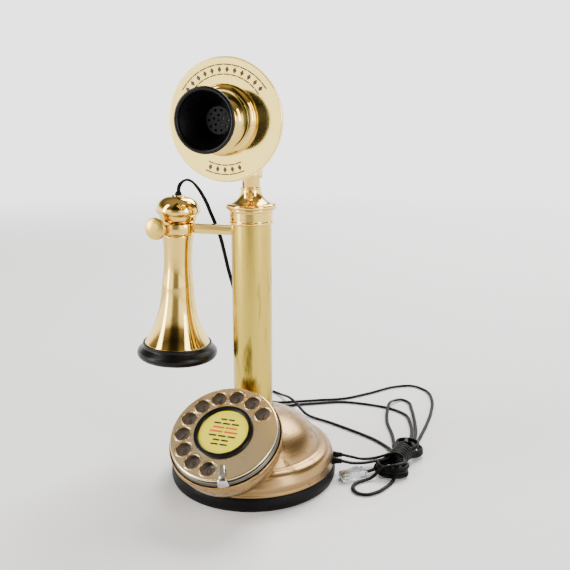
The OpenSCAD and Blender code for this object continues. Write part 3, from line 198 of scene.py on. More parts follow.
FINISH = {
    # the stand's brass, bright but handled, with a few dull brown marks
    "polished_brass": spun_brass("Brass, spun and polished, stand", STAND),
    # a drawn tube left satin: fine lines along its length and olive tarnish in long blotches
    "satin_brass": finish("Brass tube, drawn, satin", "#c9ad4a", "#6a5c1f", (0.16, 0.3), 0.7,
                          stretch=(1, 1, 0.03), run=(1, 1, 0.14), patch=9, cover=0.62, relief=0.0015,
                          Metallic=1.0),
    # buffed flat plate: the palest brass, with hairline rings
    "bright_brass": finish("Brass plate, buffed", "#f8da78", "#d6ae55", (0.06, 0.13), 0.45, HEAD, patch=30,
                           cover=0.25, relief=0.0006, Metallic=1.0),
    # the wheel's lacquered brass is pinker and hazier than the stand, with dull streaks
    "dial_brass": finish("Brass, pressed and lacquered", "#f0d8a6", "#c8a270", (0.22, 0.27), 0.4, DIAL,
                         patch=12,
                         cover=0.45, relief=0.0002, Metallic=1.0, Coat_Weight=0.2, Coat_Roughness=0.2),
    # hobbed brass gears keep coarse tool lines
    "gear_brass": finish("Brass, machined", "#c6a04f", "#8c6a30", (0.25, 0.4), 0.3, relief=0.003,
                         Metallic=1.0),
    # moulded phenolic: deep black, a soft gloss and a faint haze of handling
    "black_plastic": finish("Phenolic, moulded black", "#050404", "#0e0b0a", (0.26, 0.4), 0.5, patch=14,
                            cover=0.35, relief=0.002, Specular_IOR_Level=0.2),
    # rubber: matt black that shows dust and a pebbled skin
    "foot_rubber": finish("Rubber, moulded satin", "#060505", "#14100d", (0.42, 0.6), 0.6, patch=10,
                          cover=0.4,
                          relief=0.01, Specular_IOR_Level=0.12),
    # pressed wool felt: fuzzy dark green, no gloss
    "felt": finish("Wool felt, pressed", "#2b3a2c", "#415341", (0.9, 1.0), 0.5, patch=5, cover=0.5,
                   relief=0.2,
                   Sheen_Weight=0.6, Sheen_Roughness=0.5),
    # zinc plate: bluish grey metal, a little cloudy
    "zinc_steel": finish("Steel, zinc plated", "#b6b8ba", "#8b8a83", (0.25, 0.42), 0.4, patch=8, relief=0.003,
                         Metallic=1.0),
    # heat-blued spring steel: dark straw and blue blotches
    "spring_steel": finish("Spring steel, blued", "#5d6672", "#6e5a46", (0.22, 0.34), 0.3, patch=6,
                           relief=0.002, Metallic=1.0),
    # sand-cast iron under thin paint: coarse pitted skin
    "cast_iron": finish("Iron, sand cast", "#3b3b3c", "#57483d", (0.6, 0.8), 0.9, patch=9, cover=0.45,
                        relief=0.12),
    # glass fibre board under green solder mask, glossy with a woven ghost
    "circuit_green": finish("Glass fibre board", "#1f5a34", "#2f7446", (0.2, 0.34), 0.5, stretch=(1, 0.2, 1),
                            patch=4, relief=0.004, Coat_Weight=0.5),
    # ivory moulding with slight yellowing
    "terminal_plastic": finish("ABS, ivory", "#e8e2d2", "#d8cba9", (0.35, 0.5), 0.4, patch=7, relief=0.005),
    # paper laminate: brown sheets with fibres
    "insulator_brown": finish("Paper laminate", "#4d2a1a", "#6a412a", (0.4, 0.55), 0.25, stretch=(0.1, 1, 1),
                              patch=3, relief=0.006),
    # nickel on a pressed case: warm silver, satin from wear
    "case_nickel": finish("Nickel plate, satin", "#716c65", "#433e37", (0.26, 0.42), 0.4, DIAL, patch=7,
                          cover=0.45, relief=0.003, Metallic=1.0),
    # stoved enamel: warm grey, eggshell, with rubbed spots where fingers land
    "number_enamel": finish("Enamel, stoved grey", "#5a5148", "#776b5c", (0.35, 0.52), 0.5, patch=6,
                            cover=0.4,
                            relief=0.006),
    # printed card: flat strong yellow with paper fibre
    "card_yellow": finish("Printed card", "#fff000", "#f2dc00", (0.6, 0.75), 0.3, patch=9, cover=0.3,
                          relief=0.006),
    # cast acrylic: clear, with faint hairline scratches
    "clear_plastic": finish("Acrylic, clear", "#ffffff", "#f4f6f2", (0.03, 0.09), 0.8, patch=9, relief=0.001,
                            worn_rough=0.04, Transmission_Weight=1.0, IOR=1.49, Alpha=0.12),
    # nylon moulding: milky, soft highlight
    "cam_nylon": finish("Nylon, moulded", "#dcd8cc", "#c6c0ad", (0.4, 0.5), 0.5, patch=5, relief=0.004),
    # soft PVC lead: black, low gloss, fine die lines
    "cord_black": finish("PVC lead, black", "#010101", "#040303", (0.4, 0.55), 0.35, patch=12, cover=0.3,
                         relief=0.003, Specular_IOR_Level=0.12),
    # injection-moulded polycarbonate: clear with a slight flow ripple
    "plug_clear": finish("Polycarbonate, clear", "#f4f8fb", "#e6ecf0", (0.05, 0.14), 1.2, patch=5,
                         relief=0.004,
                         worn_rough=0.05, Transmission_Weight=0.9, IOR=1.58),
}
HEAD_BRASS = spun_brass("Brass, spun and polished, head", HEAD)
RECEIVER_BRASS = spun_brass("Brass, spun and polished, receiver", RECEIVER)
# the dial's bowl is sand cast and only brushed: pitted, duller and browner than the spun pieces
CAST_BRASS = finish("Brass, sand cast", "#a8854e", "#5a4226", (0.2, 0.38), 0.9, patch=6, cover=0.5,
                    relief=0.03,
                    Metallic=1.0)
# the foot's shell is handled most: brushed hazy gold with brown thumb marks
BASE_BRASS = finish("Brass, spun and brushed, foot", "#94774e", "#4c341e", (0.24, 0.36), 0.5, STAND, patch=14,
                    cover=0.5, relief=0.0015, Metallic=1.0)
# the finger stop is plated brighter than the case, and rubbed by every call
STOP_NICKEL = finish("Nickel plate, rubbed", "#c9c6bf", "#8b857a", (0.14, 0.28), 0.4, DIAL, patch=5,
                     cover=0.4,
                     relief=0.001, Metallic=1.0)
# dark wax rubbed into engraved lines
ENGRAVED = finish("Engraving wax", "#4a3218", "#2c1d0e", (0.5, 0.65), 0.3, patch=3, relief=0.003)
# screen-printed inks on the card and the number plate
BLACK_INK = finish("Screen ink, black", "#1d1c12", "#34321c", (0.5, 0.62), 0.25, patch=2, relief=0.003)
ORANGE_INK = finish("Screen ink, orange", "#e0501e", "#c8441a", (0.5, 0.62), 0.25, patch=2, relief=0.003)
PLATE_INK = finish("Screen ink, dark", "#171310", "#2a241d", (0.5, 0.62), 0.25, patch=2, relief=0.003)
# rolled edge of each finger hole: burnished by fingers, so brighter than the face
BURNISHED = finish("Brass, burnished", "#d9bc88", "#9a7548", (0.2, 0.3), 0.4, DIAL, patch=5, cover=0.4,
                   relief=0.0006, Metallic=1.0)

for node, held in frame["nodes"].items():
    for material_slot in held.material_slots:
        material_slot.material = FINISH[SLOT[node]]


# ---------------------------------------------------------------- camera
camera = bpy.data.objects.new("Camera", bpy.data.cameras.new("Camera"))
bpy.context.scene.collection.objects.link(camera)
bpy.context.scene.camera = camera
camera.location = (0.1991, -0.5202, 0.2874)
camera.rotation_euler = Euler((math.radians(77.01), 0, math.radians(18.28)))
camera.data.sensor_width = 36.0
camera.data.lens = 45.89
camera.data.clip_start = 0.01


# ---------------------------------------------------------------- making pieces
def to_mesh(name, form):
    """A bmesh as a mesh with its faces pointing outwards."""
    bmesh.ops.recalc_face_normals(form, faces=form.faces)
    mesh = bpy.data.meshes.new(name)
    form.to_mesh(mesh)
    form.free()
    return mesh


def keep(name, mesh, body, material=None, nodes=(), slot=None, place=STAND, sharp=40):
    """Links a finished mesh as a piece that rides on a body, in place of CAD nodes or with their slot."""
    slot = slot or SLOT[nodes[0]]
    mesh.transform(place)
    mesh.materials.clear()
    mesh.materials.append(material or FINISH[slot])
    mesh.polygons.foreach_set("use_smooth", [True] * len(mesh.polygons))
    mesh.set_sharp_from_angle(angle=math.radians(sharp))
    made = bpy.data.objects.new(name, mesh)
    bpy.context.scene.collection.objects.link(made)
    if body:
        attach(made, body)
    if nodes:
        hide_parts(*nodes)
    return made


def arc(cr, cz, rr, rz, start, end, steps=14):
    """Points of an ellipse arc about (cr, cz), between two angles in degrees."""
    angles = [math.radians(start + (end - start) * i / steps) for i in range(steps + 1)]
    return [(cr + rr * math.cos(a), cz + rz * math.sin(a)) for a in angles]


def soften(outline, radius=0.35, steps=3, corner=24):
    """A closed (r, z) outline with every sharp corner rounded, and the flats beside it held."""
    rounded = []
    for i, point in enumerate(outline):
        before, here, after = (Vector(outline[(i + k) % len(outline)]) for k in (-1, 0, 1))
        back, on = before - here, after - here
        if back.length < 1e-6 or on.length < 1e-6:
            continue
        if here.x < 1e-6 or math.degrees(math.pi - back.angle(on)) < corner:
            rounded.append(tuple(here))
            continue
        cut = min(radius, back.length * 0.4, on.length * 0.4)
        first, last = here + back.normalized() * cut, here + on.normalized() * cut
        if back.length > 6 * cut:
            rounded.append(tuple(here + back.normalized() * cut * 1.8))
        for k in range(steps + 1):
            t = k / steps
            rounded.append(tuple(first * (1 - t) ** 2 + here * 2 * t * (1 - t) + last * t ** 2))
        if on.length > 6 * cut:
            rounded.append(tuple(here + on.normalized() * cut * 1.8))
    return rounded


def shell(line, thick):
    """A closed outline from an open line and its copy set in by a wall's thickness, on its left side."""
    inner = []
    for i, point in enumerate(line):
        a, b = Vector(line[max(i - 1, 0)]), Vector(line[min(i + 1, len(line) - 1)])
        along = (b - a).normalized()
        inner.append((max(point[0] - along.y * thick, 0.0), point[1] + along.x * thick))
    return list(line) + inner[::-1]


def lathe(name, outline, steps=144):
    """Turns a closed (r, z) outline in millimetres about the z axis."""
    form = bmesh.new()
    turns = [(math.cos(2 * math.pi * k / steps), math.sin(2 * math.pi * k / steps)) for k in range(steps)]
    rings = [[form.verts.new((r * c * MM, r * s * MM, z * MM)) for c, s in (turns if r > 1e-6 else [(0, 0)])]
             for r, z in outline]
    for low, high in zip(rings, rings[1:] + rings[:1]):
        if len(low) == len(high) == 1:
            continue
        for k in range(steps):
            corners = [low[k % len(low)], low[(k + 1) % steps % len(low)],
                       high[(k + 1) % steps % len(high)], high[k % len(high)]]
            form.faces.new(list(dict.fromkeys(corners)))
    return to_mesh(name, form)


def block(form, low, high, place=STAND):
    """Adds a box between two corners in millimetres."""
    size = [(b - a) * MM for a, b in zip(low, high)]
    middle = Vector([(a + b) / 2 * MM for a, b in zip(low, high)])
    bmesh.ops.create_cube(form, size=1, matrix=place @ Matrix.Translation(middle) @ Matrix.Diagonal((*size,
                                                                                                     1)))


def break_edges(form, size, angle=32, segments=2):
    """Rounds the edges of a form that are sharper than an angle."""
    sharp = [e for e in form.edges if e.is_manifold and e.calc_face_angle() > math.radians(angle)]
    bmesh.ops.bevel(form, geom=sharp, offset=size * MM, offset_type="OFFSET", segments=segments, profile=0.5,
                    affect="EDGES", clamp_overlap=True)


def refined(node, size=0.3):
    """A CAD node's own shape, with its edges broken as a machinist leaves them."""
    form = bmesh.new()
    form.from_mesh(frame["nodes"][node].data)
    bmesh.ops.remove_doubles(form, verts=form.verts, dist=1e-6)
    bmesh.ops.dissolve_limit(form, angle_limit=math.radians(0.5), verts=form.verts, edges=form.edges)
    break_edges(form, size)
    return to_mesh(node, form)


def extruded(form, outline, low, high, to):
    """Adds a prism: an outline in millimetres, from low to high along its own z, placed by to."""
    bottom = [form.verts.new(to @ Vector((x * MM, y * MM, low * MM))) for x, y in outline]
    top = [form.verts.new(to @ Vector((x * MM, y * MM, high * MM))) for x, y in outline]
    form.faces.new(bottom[::-1])
    form.faces.new(top)
    for i in range(len(outline)):
        j = (i + 1) % len(outline)
        form.faces.new((bottom[i], bottom[j], top[j], top[i]))


# ---------------------------------------------------------------- cords
# Both leads are flat twin leads. Their route points are the CAD's, in metres, but for the few next to the hank,
# which run into its turns. The CAD's hank is one solid, so the turns in it are laid out here.
lead_w, lead_t = 3.2, 2.4
hank_at = Vector((0.1136, 0.050, 0))
HANK = Matrix.Translation(hank_at) @ Matrix.Rotation(math.radians(80), 4, "Z")
# half the hank's straight run, and half its width; then the turns that bind its waist
hank_run, hank_side = 17.0, 15.0
wrap_y, wrap_z, wrap_h, wrap_end = 7.4, 8.2, 6.9, 10.7
# the share of a turn in each straight run and in each end bend, and how far the waist is drawn in
run_share, bend_share, waist_w, waist_h = 0.27, 0.23, 0.42, 0.62

TOP_ROUTE = [
    (-0.0614, 0, 0.2304), (-0.0606, 0, 0.2346), (-0.0576, 0, 0.2382), (-0.0537, 0, 0.2398),
    (-0.0498, 0.0005, 0.2386), (-0.0463, 0.0012, 0.235), (-0.0433, 0.0022, 0.2306), (-0.0411, 0.0034, 0.226),
    (-0.0392, 0.0049, 0.221)]
DROP_ROUTE = [
    (-0.0372, 0.0068, 0.214), (-0.0347, 0.009, 0.206), (-0.0314, 0.0112, 0.195), (-0.0289, 0.0132, 0.182),
    (-0.0264, 0.016, 0.166), (-0.0226, 0.0184, 0.149), (-0.0176, 0.0198, 0.128), (-0.0134, 0.021, 0.106),
    (-0.0116, 0.023, 0.086), (-0.012, 0.028, 0.069), (-0.0134, 0.0345, 0.057), (-0.016, 0.0435, 0.0465),
    (-0.019, 0.053, 0.036), (-0.022, 0.0635, 0.024), (-0.025, 0.071, 0.011), (-0.029, 0.078, 0.0032),
    (-0.038, 0.091, 0.0018), (-0.050, 0.108, 0.0018), (-0.061, 0.127, 0.0018), (-0.065, 0.147, 0.0018),
    (-0.059, 0.165, 0.0018), (-0.045, 0.172, 0.0018), (-0.031, 0.164, 0.0026), (-0.018, 0.151, 0.0056),
    (-0.006, 0.138, 0.0054), (0.010, 0.122, 0.0024), (0.036, 0.112, 0.0018), (0.060, 0.101, 0.0018),
    (0.084, 0.088, 0.0018), (0.0985, 0.0755, 0.0018)]
FAR_ROUTE = [
    (0.1218, 0.079, 0.0094), (0.122, 0.088, 0.005), (0.1222, 0.097, 0.0018), (0.1234, 0.113, 0.0018),
    (0.1245, 0.132, 0.0018), (0.125, 0.166, 0.0018), (0.122, 0.199, 0.0018), (0.113, 0.224, 0.0018),
    (0.096, 0.235, 0.0018), (0.078, 0.226, 0.0018), (0.056, 0.199, 0.0018), (0.034, 0.176, 0.0018),
    (0.011, 0.164, 0.0018), (-0.008, 0.154, 0.0018), (-0.030, 0.144, 0.0018), (-0.043, 0.146, 0.0018),
    (-0.051, 0.141, 0.0018), (-0.050, 0.132, 0.0018), (-0.041, 0.127, 0.0018), (-0.025, 0.134, 0.0018),
    (-0.006, 0.145, 0.0018), (0.012, 0.155, 0.0018), (0.034, 0.166, 0.0018), (0.060, 0.168, 0.0018),
    (0.086, 0.164, 0.0018), (0.102, 0.153, 0.0018), (0.110, 0.133, 0.0018), (0.1144, 0.112, 0.0018),
    (0.1152, 0.097, 0.0018), (0.115, 0.088, 0.005), (0.1146, 0.079, 0.0105)]
HOME_ROUTE = [(0.093, 0.041, 0.0066), (0.084, 0.0335, 0.008), (0.077, 0.0266, 0.012),
              (0.0697, 0.0227, 0.0146)]
START_ROUTE = [(0.0724, 0.0115, 0.0146), (0.080, 0.0142, 0.0128), (0.087, 0.0215, 0.0104),
               (0.094, 0.0305, 0.0086)]
LOOP_ROUTE = [
    (0.098, 0.102, 0.0018), (0.088, 0.130, 0.0018), (0.084, 0.151, 0.003), (0.083, 0.167, 0.0054),
    (0.085, 0.183, 0.003), (0.092, 0.192, 0.0018), (0.100, 0.186, 0.0018), (0.105, 0.171, 0.0018),
    (0.110, 0.152, 0.0018), (0.115, 0.130, 0.0018), (0.118, 0.112, 0.0018), (0.1187, 0.097, 0.0018),
    (0.1186, 0.088, 0.005), (0.1183, 0.079, 0.0098)]
FRONT_ROUTE = [
    (0.1155, 0.022, 0.006), (0.1134, 0.0147, 0.0018), (0.1097, 0.0032, 0.0018), (0.105, -0.0058, 0.0018),
    (0.098, -0.012, 0.0018), (0.0906, -0.0116, 0.0018), (0.0854, -0.0046, 0.0018), (0.0864, 0.0034, 0.0018),
    (0.091, 0.0095, 0.0018), (0.097, 0.0145, 0.003), (0.1035, 0.0205, 0.0085)]
PLUG_ROUTE = [(0.0975, 0.033, 0.0064), (0.0962, 0.0275, 0.004), (0.0895, 0.0205, 0.0033)]


def loose(route):
    """Route points with the lead lying flat: near the table it sits lower than a round cord would."""
    drop = (lead_w - lead_t) / 2 * MM
    return [(Vector(p) - Vector((0, 0, drop * min(1, max(0, (6 * MM - p[2]) / (4 * MM))))), 0.0, 0.0)
            for p in route]


def wound(start, end, sides, heights, steps=18):
    """Route points round the hank, from one turn count to another, drawn in at its waist.

    The lead drifts from one half width to the other and from one height to the other, on its edge."""
    points = []
    count = math.ceil(abs(end - start) * steps)
    for i in range(count + 1):
        t = i / count
        turn = (start + (end - start) * t) % 1
        side = sides[0] + (sides[1] - sides[0]) * t
        z = heights[0] + (heights[1] - heights[0]) * t
        first_half = turn < 0.5
        along = turn if first_half else turn - 0.5
        if along < run_share:
            x = hank_run * (1 - 2 * along / run_share) * (1 if first_half else -1)
            open_up = (x / hank_run) ** 2
            y = side * (waist_w + (1 - waist_w) * open_up) * (1 if first_half else -1)
            z = wrap_z + (z - wrap_z) * (waist_h + (1 - waist_h) * open_up)
        else:
            near = first_half
            a = math.pi / 2 + math.pi * (along - run_share) / bend_share + (0 if near else math.pi)
            x, y = (-hank_run if near else hank_run) + side * math.cos(a), side * math.sin(a)
        edge = min(1, 4 * t, 4 * (1 - t)) * 0.9
        points.append((HANK @ Vector((x * MM, y * MM, z * MM)), edge, 0.0))
    return points


def bound(turns, start, end, steps=16):
    """Route points of the turns that bind the hank's waist, with the lead flat against it."""
    points = []
    count = turns * steps
    for i in range(count + 1):
        t = i / count
        a = math.pi / 2 - 2 * math.pi * turns * t
        place = (start + (end - start) * t, wrap_y * math.cos(a), wrap_z + wrap_h * math.sin(a))
        points.append((HANK @ (Vector(place) * MM), 0.0, 1.0))
    return points


def smooth_line(route, spacing=2.2):
    """A smooth centripetal line through route points. Each point keeps how far the lead is turned on its edge,
    and how far it lies along the hank instead."""
    line = []
    for i in range(len(route) - 1):
        four = [route[min(max(i + k, 0), len(route) - 1)] for k in (-1, 0, 1, 2)]
        p = [Vector(item[0]) for item in four]
        if i == 0:
            p[0] = p[1] * 2 - p[2]
        if i == len(route) - 2:
            p[3] = p[2] * 2 - p[1]
        knot = [0.0]
        for a, b in zip(p, p[1:]):
            knot.append(knot[-1] + max((b - a).length, 1e-6) ** 0.5)
        count = max(2, math.ceil((p[2] - p[1]).length / (spacing * MM)))
        for k in range(count):
            t = knot[1] + (knot[2] - knot[1]) * k / count
            first = [p[j].lerp(p[j + 1], (t - knot[j]) / (knot[j + 1] - knot[j])) for j in range(3)]
            second = [first[j].lerp(first[j + 1], (t - knot[j]) / (knot[j + 2] - knot[j])) for j in range(2)]
            point = second[0].lerp(second[1], (t - knot[1]) / (knot[2] - knot[1]))
            line.append((point, *(four[1][n] + (four[2][n] - four[1][n]) * k / count for n in (1, 2))))
    return line + [route[-1]]


def flat_lead(name, route):
    """Sweeps the twin lead's section, two cores side by side in one sheath, along a route."""
    line = smooth_line(route)
    corners, pinch = 16, 0.24
    hank_axis = HANK.to_3x3() @ Vector((1, 0, 0))
    form = bmesh.new()
    rings = []
    last = None
    for i, (point, edge, lying) in enumerate(line):
        along = (line[min(i + 1, len(line) - 1)][0] - line[max(i - 1, 0)][0]).normalized()
        steep = abs(along.z) ** 4
        wide = along.cross(Vector((0, steep, 1 - steep))).normalized()
        wide = Matrix.Rotation(edge * math.pi / 2, 3, along) @ wide
        for direction in (wide, hank_axis):
            if last and direction.dot(last) < 0:
                direction.negate()
        wide = wide.lerp(hank_axis, lying)
        wide = (wide - along * wide.dot(along)).normalized()
        thick = wide.cross(along)
        last = wide
        ring = []
        for k in range(corners):
            a = 2 * math.pi * k / corners
            waist = 1 - pinch * (1 - abs(math.cos(a))) ** 2
            ring.append(form.verts.new(point + wide * (lead_w / 2 * math.cos(a) * MM)
                                       + thick * (lead_t / 2 * math.sin(a) * waist * MM)))
        rings.append(ring)
    for low, high in zip(rings, rings[1:]):
        for k in range(corners):
            j = (k + 1) % corners
            form.faces.new((low[k], low[j], high[j], high[k]))
    form.faces.new(rings[0])
    form.faces.new(rings[-1])
    return to_mesh(name, form), [point for point, *_ in line]


outer, inner = hank_side - 1.1, hank_side - 4.6
receiver_route = (
    loose(TOP_ROUTE) + loose(DROP_ROUTE) + wound(0.04, 2.72, (outer, outer - 1.3),
                                                 (1.8, 9.6)) + loose(FAR_ROUTE)
    + bound(6, wrap_end, -wrap_end) + loose(HOME_ROUTE))
line_route = (
    loose(START_ROUTE) + wound(1.22, 0.0, (inner, inner - 0.4), (8.8, 2.4)) + loose(LOOP_ROUTE)
    + wound(0.74, 0.53, (inner - 0.4, inner - 0.4), (9.0, 8.6)) + loose(FRONT_ROUTE)
    + wound(0.43, 1.2, (inner - 0.4, inner - 0.6), (11.8, 11.4)) + loose(PLUG_ROUTE))

lead_mesh, lead_path = flat_lead("receiver_lead", receiver_route)
receiver_lead = keep("receiver_lead", lead_mesh, None, nodes=("receiver_cord", "receiver_cord_top"), sharp=70)
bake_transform(receiver_lead)
lead_mesh, lead_line = flat_lead("line_lead", line_route)
line_lead = keep("line_lead", lead_mesh, "stand", nodes=("line_cord", "cord_hank"), sharp=70)


def line_plug():
    """A clear modular plug with its latch and four gold blades."""
    at = Vector(PLUG_ROUTE[-1])
    turn = Matrix.Translation((at.x, at.y, 0)) @ Matrix.Rotation(math.radians(222), 4, "Z")
    length, wide, tall = 21.5, 9.6, 6.6
    form = bmesh.new()
    block(form, (0, -wide / 2, 0.05), (length, wide / 2, tall))
    block(form, (length - 0.2, -wide / 2 + 0.6, 0.9), (length + 0.5, wide / 2 - 0.6, tall - 0.9))
    extruded(form, [(19.5, tall - 0.2), (19.5, tall + 0.5), (6, tall + 2.4), (5, tall + 1.9), (5, tall + 1.2),
                    (17.2, tall - 0.2)], -2.7, 2.7, Matrix.Rotation(math.radians(90), 4, "X"))
    break_edges(form, 0.35)
    body = keep("plug_body", to_mesh("plug_body", form), "stand", nodes=("line_plug",), place=turn)
    form = bmesh.new()
    for i in range(4):
        y = (i - 1.5) * 1.02
        block(form, (length - 6.5, y - 0.18, tall - 2.8), (length - 1.2, y + 0.18, tall + 0.1))
    break_edges(form, 0.05)
    blades = keep("plug_blades", to_mesh("plug_blades", form), "stand", slot="gear_brass", place=turn)
    return body, blades


plug_body, plug_blades = line_plug()


# ---------------------------------------------------------------- patterns by Geometry Nodes
def new_tree(name, inputs):
    """A Geometry Nodes tree with named inputs, and the sockets that give them."""
    tree = bpy.data.node_groups.new(name, "GeometryNodeTree")
    tree.interface.new_socket("Geometry", in_out="OUTPUT", socket_type="NodeSocketGeometry")
    for label, kind in inputs.items():
        tree.interface.new_socket(label, in_out="INPUT", socket_type="NodeSocket" + kind)
    return tree, add(tree, "NodeGroupInput").outputs


def end_tree(tree, geometry, material):
    """Makes the instances real, sets the finish and ends the tree."""
    real = add(tree, "GeometryNodeRealizeInstances", {0: geometry}).outputs[0]
    coated = add(tree, "GeometryNodeSetMaterial", {"Geometry": real, "Material": material}).outputs[0]
    add(tree, "NodeGroupOutput", {0: coated})
    return tree


def spots(tree, part, count, radius, start, step):
    """Puts a part on points about the axis, each turned to face outwards."""
    index = add(tree, "GeometryNodeInputIndex").outputs[0]
    turn = add(tree, "ShaderNodeMath", {0: index, 1: step, 2: start}, operation="MULTIPLY_ADD").outputs[0]
    reach = [add(tree, "ShaderNodeMath", {
        0: add(tree, "ShaderNodeMath", {0: turn}, operation=way).outputs[0], 1: radius},
        operation="MULTIPLY").outputs[0] for way in ("COSINE", "SINE")]
    place = add(tree, "ShaderNodeCombineXYZ", {0: reach[0], 1: reach[1]}).outputs[0]
    points = add(tree, "GeometryNodePoints", {"Count": count, "Position": place}).outputs[0]
    facing = add(tree, "ShaderNodeCombineXYZ", {2: turn}).outputs[0]
    rotation = add(tree, "FunctionNodeEulerToRotation", {0: facing}).outputs[0]
    return add(tree, "GeometryNodeInstanceOnPoints", {
        "Points": points, "Instance": part, "Rotation": rotation}).outputs[0]


def ring_tree():
    """A part repeated about the axis: knurls, hole rims and engraved lozenges."""
    tree, given = new_tree("Parts in a ring", {
        "Part": "Object", "Count": "Int", "Radius": "Float", "Start": "Float", "Step": "Float",
        "Finish": "Material"})
    part = add(tree, "GeometryNodeObjectInfo", {"Object": given["Part"]}).outputs["Geometry"]
    placed = spots(tree, part, given["Count"], given["Radius"], given["Start"], given["Step"])
    return end_tree(tree, placed, given["Finish"])


def disc_tree(rings):
    """A flat disc with rings of round holes punched through it: the finger wheel and the speaking grille."""
    inputs = {"Radius": "Float", "Thickness": "Float", "Hole radius": "Float", "Finish": "Material"}
    for i in range(rings):
        inputs.update({f"Ring {i} count": "Int", f"Ring {i} radius": "Float", f"Ring {i} start": "Float",
                       f"Ring {i} step": "Float"})
    tree, given = new_tree("Punched disc", inputs)
    rim = add(tree, "GeometryNodeCurvePrimitiveCircle",
              {"Resolution": 160, "Radius": given["Radius"]}).outputs[0]
    hole = add(tree, "GeometryNodeCurvePrimitiveCircle", {
        "Resolution": 40, "Radius": given["Hole radius"]}).outputs[0]
    holes = [spots(tree, hole, *(given[f"Ring {i} {what}"] for what in ("count", "radius", "start", "step")))
             for i in range(rings)]
    cut = [add(tree, "GeometryNodeRealizeInstances", {0: ring}).outputs[0] for ring in holes]
    flat = add(tree, "GeometryNodeFillCurve", {
        0: add(tree, "GeometryNodeJoinGeometry", {0: [rim] + cut}).outputs[0]}).outputs[0]
    raised = add(tree, "GeometryNodeExtrudeMesh", {
        "Mesh": flat, "Offset Scale": given["Thickness"], "Individual": False}).outputs[0]
    under = add(tree, "GeometryNodeFlipFaces", {0: flat}).outputs[0]
    both = add(tree, "GeometryNodeJoinGeometry", {0: [raised, under]}).outputs[0]
    welded = add(tree, "GeometryNodeMergeByDistance", {"Geometry": both, "Distance": 1e-6}).outputs[0]
    return end_tree(tree, welded, given["Finish"])


def grown(name, tree, values):
    """The plain mesh that a tree gives for its input values."""
    host = bpy.data.objects.new(name, bpy.data.meshes.new(name))
    bpy.context.scene.collection.objects.link(host)
    modifier = host.modifiers.new("Pattern", "NODES")
    modifier.node_group = tree
    for item in tree.interface.items_tree:
        if item.in_out == "INPUT":
            modifier[item.identifier] = values[item.name]
    bpy.context.view_layer.update()
    mesh = bpy.data.meshes.new_from_object(host.evaluated_get(bpy.context.evaluated_depsgraph_get()))
    host.modifiers.remove(modifier)
    bpy.data.objects.remove(host)
    return mesh


RING = ring_tree()


def ring_of(name, part_mesh, count, radius, start, step, material):
    """A mesh repeated about the axis, as one plain mesh."""
    part = bpy.data.objects.new(name + "_part", part_mesh)
    bpy.context.scene.collection.objects.link(part)
    mesh = grown(name, RING, {"Part": part, "Count": count, "Radius": radius * MM, "Start": start,
                              "Step": step, "Finish": material})
    bpy.data.objects.remove(part)
    return mesh


def punched(name, radius, thick, hole, rings, material):
    """A punched disc; each ring of holes is a count, a radius, a start and a step."""
    values = {"Radius": radius * MM, "Thickness": thick * MM, "Hole radius": hole * MM, "Finish": material}
    for i, (count, pitch, start, step) in enumerate(rings):
        values.update({f"Ring {i} count": count, f"Ring {i} radius": pitch * MM, f"Ring {i} start": start,
                       f"Ring {i} step": step})
    return grown(name, disc_tree(len(rings)), values)


# ---------------------------------------------------------------- base and column
def base():
    """The foot ring and the spun shell: a bead above the foot, a groove, then the bell up to the column."""
    tread = arc(foot_r - 1.6, foot_h / 2, 1.6, foot_h / 2 - 0.5, -72, 72, 16)
    inside = band_r - 4
    ring = [(inside, 0), (foot_r - 1.6, 0)] + tread + [(foot_r - 1.6, foot_h), (inside, foot_h)]
    keep("foot_ring_moulded", lathe("foot_ring", soften(ring, 0.5), 176), "stand", nodes=("foot_ring",))
    bead_z, groove_r, groove_z = foot_h + 8.5, foot_r - 13.2, foot_h + 17.5
    bell_r, bell_z, bell_h = column_r + 0.4, foot_h + 8, 33.5
    wide = groove_r + 2 - bell_r
    meets = math.degrees(math.acos((groove_r - bell_r) / wide))
    line = [(band_r, foot_h + 0.1), (band_r, foot_h + 1.4), (band_r - 0.5, foot_h + 2.2),
            (band_r - 0.5, foot_h + 3)]
    line += arc(band_r - 2.1, bead_z - 2.6, 1.9, 3.4, -20, 40, 8)
    line += arc(groove_r + 3.4, bead_z, band_r - groove_r - 4.6, groove_z - bead_z - 1.2, 26, 88, 14)
    line += [(groove_r + 1.2, groove_z - 0.9), (groove_r + 0.5, groove_z - 0.5)]
    line += arc(bell_r, bell_z, wide, bell_h, meets, 74, 40)
    neck = column_r + 1.2
    line += arc(neck + 5.5, base_top + 0.6, 5.3, 7.2, -118, -180, 10)
    keep("base_shell_spun", lathe("base_shell", soften(shell(line, 1.6), 0.4, corner=34), 176), "stand",
         BASE_BRASS, nodes=("base_shell",))


